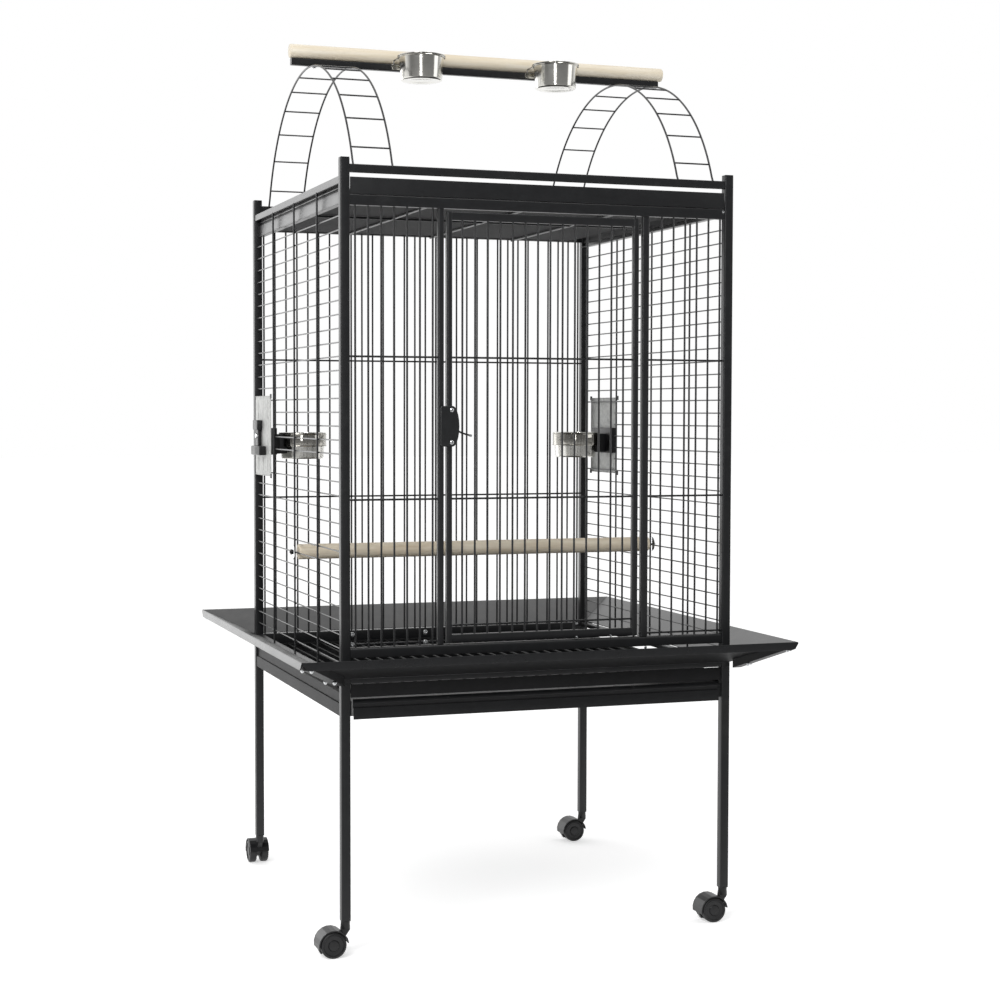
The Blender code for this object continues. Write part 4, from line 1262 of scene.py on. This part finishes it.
@dataclass
class Feeders:
    """Plate doors in the side grids, each with a hoop, a bowl, a block and a latch."""

    plate_x: Pair = (-0.0020, -0.0005)
    plate_y: Pair = (0.5995, 0.7550)
    plate_z: Pair = (0.892, 1.067)
    lip: float = 0.0016
    rib_y: Triple = (0.632, 0.678, 0.724)
    rib_half: float = 0.0030
    rib_z: tuple[Pair, Pair] = ((0.902, 0.932), (1.018, 1.058))
    lug: Pair = (0.008, 0.010)
    block_x: Pair = (0.0003, 0.0130)
    block_y: Pair = (0.6020, 0.7160)
    block_z: Pair = (0.9390, 0.9970)
    bore: float = 0.0050
    holder_x: Pair = (0.0126, 0.0262)
    holder_half: float = 0.0215
    holder_z: Pair = (0.9405, 0.9834)
    arm_x: float = 0.0250
    arm_y: float = 0.0205
    arm_half: float = 0.0025
    arm_z: Pair = (0.9410, 0.9830)
    bowl: Pair = (0.0806, 0.6505)
    pressing: Cup = field(default_factory=lambda: Cup(
        (0.0525, 0.0500, 0.0465), 0.9290, 0.9870, 0.0014))
    hoop_r: Pair = (0.0507, 0.0525)
    hoop_z: Pair = (0.9570, 0.9840)
    hoop_wire: float = 0.0011
    latch: Pair = (0.705, 0.977)
    # Depth from the plate, reach behind and before the bolt, height and rounding.
    latch_parts: tuple[tuple[float, Pair, Pair, float], ...] = (
        (0.0080, (-0.013, 0.016), (0.945, 1.000), 0.0014),
        (0.0120, (-0.022, 0.024), (0.992, 1.014), 0.0022),
        (0.0160, (-0.060, 0.024), (0.937, 0.957), 0.0026))
    latch_grips: int = 4
    grip_pitch: float = 0.010
    screw_z: float = 0.9795

    def plate(self, shape: Shape) -> None:
        """Adds the plate with its folded edges, pressed ribs and corner lugs.

        Args:
            shape: to add it to.
        """
        x0, x1 = self.plate_x
        y0, y1 = self.plate_y
        z0, z1 = self.plate_z
        shape.box(self.plate_x, self.plate_y, self.plate_z, EASED)
        for span in ((z0, z0 + self.lip), (z1 - self.lip, z1)):
            shape.box((x0 - 0.0008, x1), self.plate_y, span, EASED)
        for span in self.rib_z:
            for y in self.rib_y:
                shape.box((x0 - 0.0007, x0 + 0.0006), about(y, self.rib_half), span, EASED)
        shape.finish = 1
        for y in (y0 - 0.007, y1 - 0.001):
            for z in (z0 - 0.004, z1 - 0.006):
                shape.box((x0 - 0.0015, x1 - 0.0005), (y, y + self.lug[0]), (z, z + self.lug[1]),
                          0.0008)

    def hoop(self, shape: Shape) -> None:
        """Adds the hoop that the bowl stands in, with its holder and two arms.

        Args:
            shape: to add it to.
        """
        shape.finish = 2
        x, y = self.bowl
        low, high = self.hoop_z
        inner, outer = self.hoop_r
        shape.lathe([(inner, low), (outer - 0.0003, low), (outer, low + 0.0008),
                     (outer, high - 0.0008), (outer - 0.0003, high), (inner, high), (inner, low)],
                    (x, y, 0.0), Axis.Z, 56)
        for level in (low + 0.0006, high - 0.0012):
            shape.ring((x, y, level), outer, self.hoop_wire)
        shape.finish = 1
        shape.box(self.holder_x, about(y, self.holder_half), self.holder_z, 0.0012)
        for arm in (-self.arm_y, self.arm_y):
            shape.box((self.arm_x, x - outer * 0.80), about(y + arm, self.arm_half), self.arm_z,
                      0.0008)

    def door(self, side: Side) -> None:
        """Makes the plate with its block, bored for the latch, and the hoop.

        Args:
            side: of the cage.
        """
        shape = Shape(side.flip)
        self.plate(shape)
        y, z = self.latch
        for span in ((self.block_y[0], y - self.bore), (y + self.bore, self.block_y[1])):
            shape.box(self.block_x, span, self.block_z, 0.0012)
        for span in ((self.block_z[0], z - self.bore), (z + self.bore, self.block_z[1])):
            shape.box(self.block_x, about(y, self.bore + 0.0005), span, 0.0006)
        self.hoop(shape)
        name = side.value + "_feeder_door"
        finishes = (SHEET_ZINC, PLASTIC, HOOP_STEEL)
        shape.make(name + "_plate", side.value + "_feeder", finishes, [name])

    def catch(self, side: Side) -> None:
        """Makes the latch outside the plate, with its bright screw.

        Args:
            side: of the cage.
        """
        shape = Shape(side.flip)
        y, z = self.latch
        face = self.plate_x[0] - GAP
        shape.bar(Axis.X, (0.0078, face - 0.004), y, z, 0.0029, 14)
        for deep, reach, span, soft in self.latch_parts:
            shape.box((face - deep, face), (y + reach[0], y + reach[1]), span, soft)
        for k in range(self.latch_grips):
            grip = self.grip_pitch * k
            shape.box((face - 0.0160, face - 0.0145), (y - 0.052 + grip, y - 0.048 + grip),
                      (0.938, 0.956), EASED)
        shape.finish = 1
        screw(shape, (face - 0.0078, y, self.screw_z), Axis.X, -1, 0.0062, 0.0040)
        shape.bar(Axis.Y, (y - 0.020, y + 0.004), face - 0.0098, self.screw_z, 0.0017)
        name = side.value + "_feeder_latch"
        shape.make(name + "_body", side.value + "_feeder_catch", (PLASTIC, ZINC), [name])

    def build(self) -> None:
        """Makes both feeders."""
        for side in Side:
            self.door(side)
            self.catch(side)
            self.pressing.make(Shape(side.flip), self.bowl, side.value + "_feeder_bowl",
                               side.value + "_bowl")


@dataclass
class Drawers:
    """Waste tray, floor grate and play-top pan."""

    sheet: float = 0.0015
    soft: float = 0.0004
    tray_x: Pair = (0.0190, 0.7910)
    tray_y: Pair = (0.0030, 0.762)
    tray_floor: Pair = (0.4575, 0.4590)
    tray_wall: float = 0.4860
    front_x: Pair = (0.024, 0.786)
    tray_front: Pair = (0.4508, 0.4727)
    tray_lip: Pair = (0.4800, 0.4890)
    tray_screws: tuple[Pair, Pair] = ((0.2112, 0.4846), (0.5985, 0.4846))
    grate_z: Pair = (0.5008, 0.5068)
    grate_y: Pair = (0.0025, 0.7675)
    grate_bars: int = 29
    grate_edge: float = 0.006
    flange_z: Pair = (0.4925, 0.5178)
    flange: float = 0.002
    pan_x: Pair = (0.050, 0.760)
    pan_y: Pair = (0.0215, 0.765)
    pan_floor: Pair = (1.4395, 1.4410)
    pan_wall: float = 1.4630
    pan_front_x: Pair = (0.0190, 0.7905)
    pan_front_y: Pair = (0.0025, 0.0045)
    pan_front_z: float = 1.4707

    def walls(self, shape: Shape, x: Pair, y: Pair, z: Pair) -> None:
        """Adds the left, right and back walls of a sheet that is open to the front.

        Args:
            shape: to add them to.
            x, y, z: the room that they stand round.
        """
        t = self.sheet
        for wide, deep in (((x[0], x[0] + t), y), ((x[1] - t, x[1]), y), (x, (y[1] - t, y[1]))):
            shape.box(wide, deep, z, self.soft)

    def tray(self) -> None:
        """Makes the tray with its folded front and lip."""
        t = self.sheet
        shape = Shape()
        shape.box(self.tray_x, self.tray_y, self.tray_floor)
        self.walls(shape, self.tray_x, self.tray_y, (self.tray_floor[0], self.tray_wall))
        low, high = self.tray_front
        lip, top = self.tray_lip
        # One bent strip: the front face, a step back, and the rounded lip on top.
        fold = [(0.0010, low), (0.0010, high - 0.0012), (0.0016, high), (0.0054, high),
                (0.0054, lip), (0.0022, lip), (0.0012, lip + 0.0012), (0.0016, lip + 0.0030),
                (0.0028, top - 0.0034), (0.0046, top - 0.0012), (0.0062, top),
                (0.0070, top - 0.0006), (0.0070, high - t - 0.0004), (0.0064, high - t),
                (0.0030, high - t), (0.0028, low)]
        shape.prism(fold, Axis.X, self.front_x)
        shape.finish = 1
        for x, z in self.tray_screws:
            screw(shape, (x, self.tray_y[0], z), Axis.Y, -1, 0.0022, 0.0012)
        shape.make("waste_tray_sheet", "waste_drawer", (POWDER, PLASTIC), ["waste_tray"])

    def grate(self) -> None:
        """Makes the grate: its frame, bars, cross wire and front plate."""
        x0, x1 = self.tray_x
        y0, y1 = self.grate_y
        f, z = self.grate_edge, sum(self.grate_z) / 2
        shape = Shape()
        for x in ((x0, x0 + f), (x1 - f, x1)):
            shape.tube(Axis.Y, (y0 + self.flange, y1), x, self.grate_z, 0.0014)
        shape.tube(Axis.X, self.tray_x, (y1 - f, y1), self.grate_z, 0.0014)
        shape.box(self.tray_x, (y0, y0 + self.flange), self.flange_z, 0.0006)
        pitch = (x1 - x0 - f) / (self.grate_bars + 1)
        for i in range(1, self.grate_bars + 1):
            shape.bar(Axis.Y, (y0 + LAP, y1 - 0.003), x0 + f / 2 + i * pitch, z, 0.0018, 8)
        shape.bar(Axis.X, (x0 + 0.003, x1 - 0.003), MID_Y, z, 0.0019, 8)
        # The grate takes the darker coat: painted shade inside the stand under the guards.
        shape.make("floor_grate_wires", "grate", (PAINTED_SHADE_COAT,), ["floor_grate"])

    def pan(self) -> None:
        """Makes the pan: a pressed floor, low walls and a tall front."""
        front_y, floor = self.pan_front_y, self.pan_floor
        shape = Shape()
        shape.finish = 1
        shape.box(self.pan_x, (front_y[1] - 0.0005, self.pan_y[1]), floor)
        self.walls(shape, self.pan_x, self.pan_y, (floor[0], self.pan_wall))
        shape.finish = 0
        shape.box(self.pan_front_x, front_y, (floor[0], self.pan_front_z), 0.0007)
        shape.make("play_pan_sheet", "play_pan", (POWDER, PAN_COAT), ["play_top_pan"])

    def build(self) -> None:
        """Makes all three."""
        self.tray()
        self.grate()
        self.pan()


@dataclass
class Roof:
    """Roof rods under the pan and the two ladder arches over it."""

    rods: Triple = (0.2135, 0.4135, 0.6135)
    rod_y: float = 0.0168
    rod_x: float = 0.0153
    rod_top: float = 1.4384
    rod_radius: float = 0.0025
    rails: Pair = (0.0320, 0.1090)
    half_width: float = 0.3865
    height: float = 0.3655
    centre: float = 1.3725
    foot: float = 1.4815
    foot_y: float = 0.0193
    foot_rod: float = 1.4845
    foot_radius: float = 0.0021
    foot_reach: float = 0.006
    rail_radius: float = 0.0020
    rung_radius: float = 0.0016
    rung_first: float = 0.068
    rung_back_first: float = 0.0755
    rung_pitch: float = 0.0713
    rungs: int = 6

    def ground(self) -> None:
        """Makes the rods that close the cage under the pan."""
        z = self.rod_top - self.rod_radius
        shape = Shape()
        for x in self.rods:
            shape.bar(Axis.Y, (self.rod_y, DEPTH - self.rod_y), x, z, self.rod_radius)
        shape.bar(Axis.X, (self.rod_x, WIDTH - self.rod_x), MID_Y, z, self.rod_radius)
        shape.make("roof_wires", "cage", (WIRE_COAT,), ["roof_rods"])

    def line(self, steps: int) -> list[Pair]:
        """Gives the points (y, z) of the arch, from its back foot to its front foot.

        Args:
            steps: parts that it is cut into.

        Returns:
            Its points, one more than its parts.
        """
        end = math.acos((self.foot - self.centre) / self.height)
        turns = [end * (1 - 2 * i / steps) for i in range(steps + 1)]
        return [(MID_Y + self.half_width * math.sin(t), self.centre + self.height * math.cos(t))
                for t in turns]

    def rung_places(self) -> list[Pair]:
        """Spaces the rungs at equal steps along the arch from its top.

        Returns:
            Their places (y, z).
        """
        fine = self.line(2000)
        run = [0.0]
        for (a, b), (c, d) in zip(fine, fine[1:]):
            run.append(run[-1] + math.hypot(c - a, d - b))
        places = []
        for n in range(self.rungs):
            for way, first in ((-1, self.rung_back_first), (1, self.rung_first)):
                goal = run[-1] / 2 + way * (first + n * self.rung_pitch)
                places.append(fine[min(range(len(run)), key=lambda i: abs(run[i] - goal))])
        return places

    def arches(self) -> None:
        """Makes the two ladders: two rails each, rungs, and a foot rod at each end."""
        feet = (self.foot_y, DEPTH - self.foot_y)
        points = [(feet[1], self.foot), *self.line(72)[2:-2], (feet[0], self.foot)]
        rung = (self.rails[0] - LAP, self.rails[1] + LAP)
        foot = (self.rails[0] - self.foot_reach, self.rails[1] + self.foot_reach)
        for side in Side:
            shape = Shape(side.flip)
            for x in self.rails:
                shape.rod([(x, y, z) for y, z in points], self.rail_radius)
            for y, z in self.rung_places():
                shape.bar(Axis.X, rung, y, z, self.rung_radius, 8)
            for y in feet:
                shape.bar(Axis.X, foot, y, self.foot_rod, self.foot_radius, 8)
            name = side.value + "_ladder_arch"
            shape.make(name + "_wires", "cage", (WIRE_COAT,), [name])

    def build(self) -> None:
        """Makes the rods and the arches."""
        self.ground()
        self.arches()


@dataclass
class Perches:
    """The bar over the arches, the pole on it, and the perch inside."""

    bar_x: Pair = (-0.0024, 0.8165)
    bar_half: float = 0.007
    bar_z: Pair = (1.7425, 1.7565)
    pole_x: Pair = (-0.0055, 0.8260)
    pole_z: float = 1.7711
    pole_r: float = 0.0142
    inner_x: Pair = (0.0095, 0.8005)
    inner_z: float = 0.742
    inner_r: float = 0.016
    eased: float = 0.0028
    wobble: float = 0.00012
    bolts: Pair = (0.047, 0.763)

    def dowel(self, name: str, node: str, x: Pair, z: float, radius: float, finish: Finish) -> None:
        """Makes one turned dowel with eased ends.

        Args:
            name, node: of the piece and its solid.
            x: its two ends.
            z, radius: its height and radius.
            finish: its wood.
        """
        half, r, e = (x[1] - x[0]) / 2, radius, self.eased
        end = [(0.0, half), (r * 0.5, half), (r - 0.0022, half), (r - 0.0006, half - 0.0008),
               (r, half - e)]
        profile = [(a, -b) for a, b in end]
        for s in range(1, 24):
            dip = self.wobble * (1 + math.sin(s * 2.3))
            profile.append((r - dip, -half + e + 2 * (half - e) * s / 24))
        shape = Shape()
        shape.lathe([*profile, *end[::-1]], (sum(x) / 2, MID_Y, z), Axis.X, 36)
        shape.make(name, "cage", (finish,), [node])

    def build(self) -> None:
        """Makes the bar, both dowels and their bolts."""
        bar = Shape()
        bar.tube(Axis.X, self.bar_x, about(MID_Y, self.bar_half), self.bar_z, 0.0016)
        bar.make("perch_bar_tube", "cage", (POWDER,), ["perch_bar"])
        self.dowel("top_pole", "top_perch", self.pole_x, self.pole_z, self.pole_r, WOOD)
        self.dowel("inner_pole", "inner_perch", self.inner_x, self.inner_z, self.inner_r, WOOD_DARK)
        bolts = Shape()
        for x in self.bolts:
            top = self.pole_z + self.pole_r - 0.0022
            screw(bolts, (x, MID_Y, top), Axis.Z, 1, 0.0042, 0.0021)
            hex_nut(bolts, (x, MID_Y, self.bar_z[0]), Axis.Z, 0.0042, 0.0030)
        bolts.make("pole_bolts", "cage", (ZINC,))
        washer = [(0.0, -0.0022), (0.0125, -0.0022), (0.0150, -0.0016), (0.0156, -0.0008),
                  (0.0150, -0.0003), (0.0, -0.0003)]
        for side in Side:
            ends = Shape(side.flip)
            ends.lathe(washer, (0.0, MID_Y, self.inner_z), Axis.X, 32)
            ends.finish = 1
            hex_nut(ends, (-0.0021, MID_Y, self.inner_z), Axis.X, 0.0060, 0.0042)
            ends.make(side.value + "_perch_washer", "cage", (ZINC, PLASTIC))


@dataclass
class TopCups:
    """Steel cups in hoops that hang in front of the bar."""

    offset: float = 0.148
    y: float = 0.327
    pressing: Cup = field(default_factory=lambda: Cup(
        (0.0500, 0.0465, 0.0430), 1.7140, 1.7655, 0.0010))
    hoop_r: float = 0.0482
    hoop_z: float = 1.7615
    hoop_wire: float = 0.0011
    arm: float = 0.045
    arm_radius: float = 0.0016
    step: float = 0.3790
    strip_half: float = 0.047
    strip: float = 0.0025
    strip_z: Pair = (1.7445, 1.7555)
    screw_x: float = 0.020
    screw_z: float = 1.7500
    bar_half: float = 0.007

    def hanger(self, side: Side, x: float) -> None:
        """Makes the hoop, its two bent arms and the screwed strip.

        Args:
            side: of the cage.
            x: its middle.
        """
        face = MID_Y - self.bar_half - GAP
        z, step = self.hoop_z, self.step
        shape = Shape()
        shape.box(about(x, self.strip_half), (face - self.strip, face), self.strip_z, 0.0006)
        bend = ((self.y + 0.012, z), (step - 0.0045, z), (step - 0.0022, z - 0.0014),
                (step - 0.0016, 1.7558), (step + 0.0010, 1.7538), (face - 0.0010, 1.7538))
        for a in about(x, self.arm):
            shape.rod([(a, deep, tall) for deep, tall in bend], self.arm_radius)
        shape.ring((x, self.y, z), self.hoop_r, self.hoop_wire)
        shape.finish = 1
        for a in about(x, self.screw_x):
            screw(shape, (a, face - self.strip, self.screw_z), Axis.Y, -1, 0.0032, 0.0018)
        name = side.value + "_cup_hanger"
        shape.make(name + "_wires", "cage", (HOOP_STEEL, ZINC), [name])

    def build(self) -> None:
        """Makes both cups and their hangers."""
        for side, x in zip(Side, about(MID_X, self.offset)):
            self.hanger(side, x)
            self.pressing.make(Shape(), (x, self.y), side.value + "_top_cup", side.value + "_cup")


@dataclass
class Guards:
    """Four mitred strips that rise outwards, and the brackets under their corners."""

    start: float = 0.0005
    reach: float = 0.1010
    inner_z: float = 0.5300
    outer_z: float = 0.5765
    hem: float = 0.0160
    sheet: float = 0.0015
    fold: float = 0.0020
    # Distance of each pair of bolts from the cage, and the bracket's thickness there.
    bolt_rows: tuple[Pair, Pair] = ((0.036, 0.0155), (0.094, 0.0105))
    bolt_step: float = 0.014
    bolt: tuple[Pair, ...] = ((0.0, 0.0), (0.0044, 0.0), (0.0044, -0.0020), (0.0036, -0.0030),
                              (0.0031, -0.0044), (0.0018, -0.0056), (0.0, -0.0060))

    def under(self, d: float) -> float:
        """Gives the height of the underside at a distance from the cage."""
        slope = (self.outer_z - self.inner_z) / (self.reach - self.start)
        return self.inner_z - self.sheet + slope * (d - self.start)

    def section(self) -> list[Pair]:
        """Draws the strip's section, with rounded folds.

        Returns:
            Points (distance from the cage, height).
        """
        d1, top = self.reach, self.outer_z
        low, back = top - self.hem, d1 - self.fold
        return [
            (self.start, self.inner_z - self.sheet), (self.start, self.inner_z),
            (d1 - 0.0026, top - 0.0009), (d1 - 0.0010, top - 0.0003), (d1 - 0.0002, top - 0.0014),
            (d1, top - 0.0030), (d1, low + 0.0006), (d1 - 0.0006, low), (back + 0.0004, low),
            (back, low + 0.0006), (back, self.under(back) - 0.0006),
            (back - 0.0008, self.under(back - 0.0008))]

    def strip(self, name: str, length: float, at: Callable[[float, float], Pair]) -> None:
        """Makes one strip, mitred at both ends.

        Args:
            name: of the cage's face that it stands on.
            length: of that face.
            at: turns a length along the face and a distance from it into x and y.
        """
        shape = Shape()
        rings = []
        for far in (False, True):
            ring = []
            for d, z in self.section():
                back = GAP + max(0.0, self.under(d) - z - 0.002)
                ring.append((*at(length + d - back if far else back - d, d), z))
            rings.append(ring)
        shape.skin(rings)
        bmesh.ops.recalc_face_normals(shape.bm, faces=shape.bm.faces)
        # Faces that look down take the darker coat: painted shade under the strips.
        for below in (f for f in shape.bm.faces if f.normal.z < -0.5):
            below.material_index = 1
        node = "seed_guard_" + name
        shape.make(node + "_sheet", "cage", (GUARD_COAT, PAINTED_SHADE_COAT), [node])

    def bolts(self, corner: Corner) -> None:
        """Makes the bright bolts under one mitre.

        Args:
            corner: of the cage.
        """
        shape = Shape()
        cx, cy = corner.outer
        _, sx, sy = corner.value
        for d, thick in self.bolt_rows:
            near = d - self.bolt_step
            for dx, dy in ((d, near), (near, d)):
                at = (cx + sx * dx, cy + sy * dy, self.under(d) - GAP - thick)
                shape.lathe(self.bolt, at, Axis.Z, 12)
        shape.make("guard_bolts_" + corner.label, "cage", (ZINC,))

    def build(self) -> None:
        """Makes the strips, the brackets and their bolts."""
        self.strip("front", WIDTH, lambda a, d: (a, -d))
        self.strip("back", WIDTH, lambda a, d: (a, DEPTH + d))
        self.strip("left", DEPTH, lambda a, d: (-d, a))
        self.strip("right", DEPTH, lambda a, d: (WIDTH + d, a))
        for corner in Corner:
            coat("guard_bracket_" + corner.label, PLASTIC)
            self.bolts(corner)


@dataclass
class Casters:
    """Twin-wheel casters under the legs."""

    wheel_r: float = 0.025
    faces: Pair = (0.0056, 0.0215)
    bore: Pair = (0.0100, 0.0030)
    trail: float = 0.027
    headings: dict[str, float] = field(default_factory=lambda: {
        "front_left": 180.0, "front_right": 180.0, "back_left": 90.0, "back_right": 180.0})

    def wheels(self, corner: Corner) -> None:
        """Makes one pair of wheels with rounded treads and dished hubs.

        Args:
            corner: of the cage.
        """
        r = self.wheel_r
        x, y = corner.middle
        turn = math.radians(self.headings[corner.label])
        centre = (x + self.trail * math.cos(turn), y + self.trail * math.sin(turn), r)
        axis = Axis.X if corner is Corner.BACK_LEFT else Axis.Y
        shape = Shape()
        for way in (-1, 1):
            a, b = (way * face for face in self.faces)
            tread = [(self.bore[0], a), (r - 0.0022, a), (r - 0.0004, a + way * 0.0014),
                     (r, a + way * 0.0034), (r, b - way * 0.0036), (r - 0.0006, b - way * 0.0014),
                     (r - 0.0026, b)]
            hub = [(r - 0.0026, b), (r - 0.0048, b), (r - 0.0060, b - way * 0.0018),
                   (0.0110, b - way * 0.0026), (0.0095, b - way * 0.0006),
                   (0.0050, b - way * 0.0002), (0.0, b)]
            axle = [(self.bore[0], a), (self.bore[1], a), (self.bore[1], -a)]
            shape.finish = 0
            shape.lathe(tread, centre, axis, 48)
            shape.finish = 1
            shape.lathe(hub, centre, axis, 48)
            shape.lathe(axle, centre, axis, 24)
        bmesh.ops.remove_doubles(shape.bm, verts=shape.bm.verts, dist=0.00002)
        node = "caster_wheels_" + corner.label
        shape.make(node + "_pair", "wheels_" + corner.label, (TYRE, PLASTIC), [node])

    def build(self) -> None:
        """Makes the wheels, and finishes the forks."""
        for corner in Corner:
            self.wheels(corner)
            coat("caster_fork_" + corner.label, PLASTIC)


@dataclass
class Fasteners:
    """Bright screws on the front frame and on the door."""

    clips: tuple[Pair, ...] = ((0.0230, 0.5925), (0.0230, 0.6120), (0.1670, 0.5925),
                               (0.1670, 0.6115))
    clip_y: Pair = (0.0046, 0.0072)
    clip_half: Pair = (0.0030, 0.0042)
    frame: tuple[Pair, ...] = ((0.6242, 0.5644), (0.7885, 1.4330))
    door: tuple[Pair, ...] = ((0.4772, 0.6170), (0.4772, 0.5909), (0.5497, 0.5905))

    def build(self) -> None:
        """Makes the screws of the front frame and of the door."""
        shape = Shape()
        wide, tall = self.clip_half
        for x, z in self.clips:
            shape.box(about(x, wide), self.clip_y, about(z, tall), 0.0010)
            screw(shape, (x, self.clip_y[0] + 0.0001, z), Axis.Y, -1, 0.0042, 0.0022)
        for x, z in self.frame:
            screw(shape, (x, 0.0016, z), Axis.Y, -1, 0.0030, 0.0014)
        shape.make("frame_screws", "cage", (ZINC,))
        door = Shape()
        for x, z in self.door:
            screw(door, (x, 0.0031, z), Axis.Y, -1, 0.0026, 0.0014)
        door.make("door_screws", "door", (ZINC,))


def main() -> None:
    """Builds the studio and every piece in order."""
    logging.basicConfig(level=logging.INFO, format="%(name)s: %(message)s")
    for builder in (Studio(), Posts(), Rails(), FixedPanels(), MainDoor(), SideGrids(), Feeders(),
                    Drawers(), Roof(), Perches(), TopCups(), Guards(), Casters(), Fasteners()):
        builder.build()


if __name__ == "__main__":
    main()
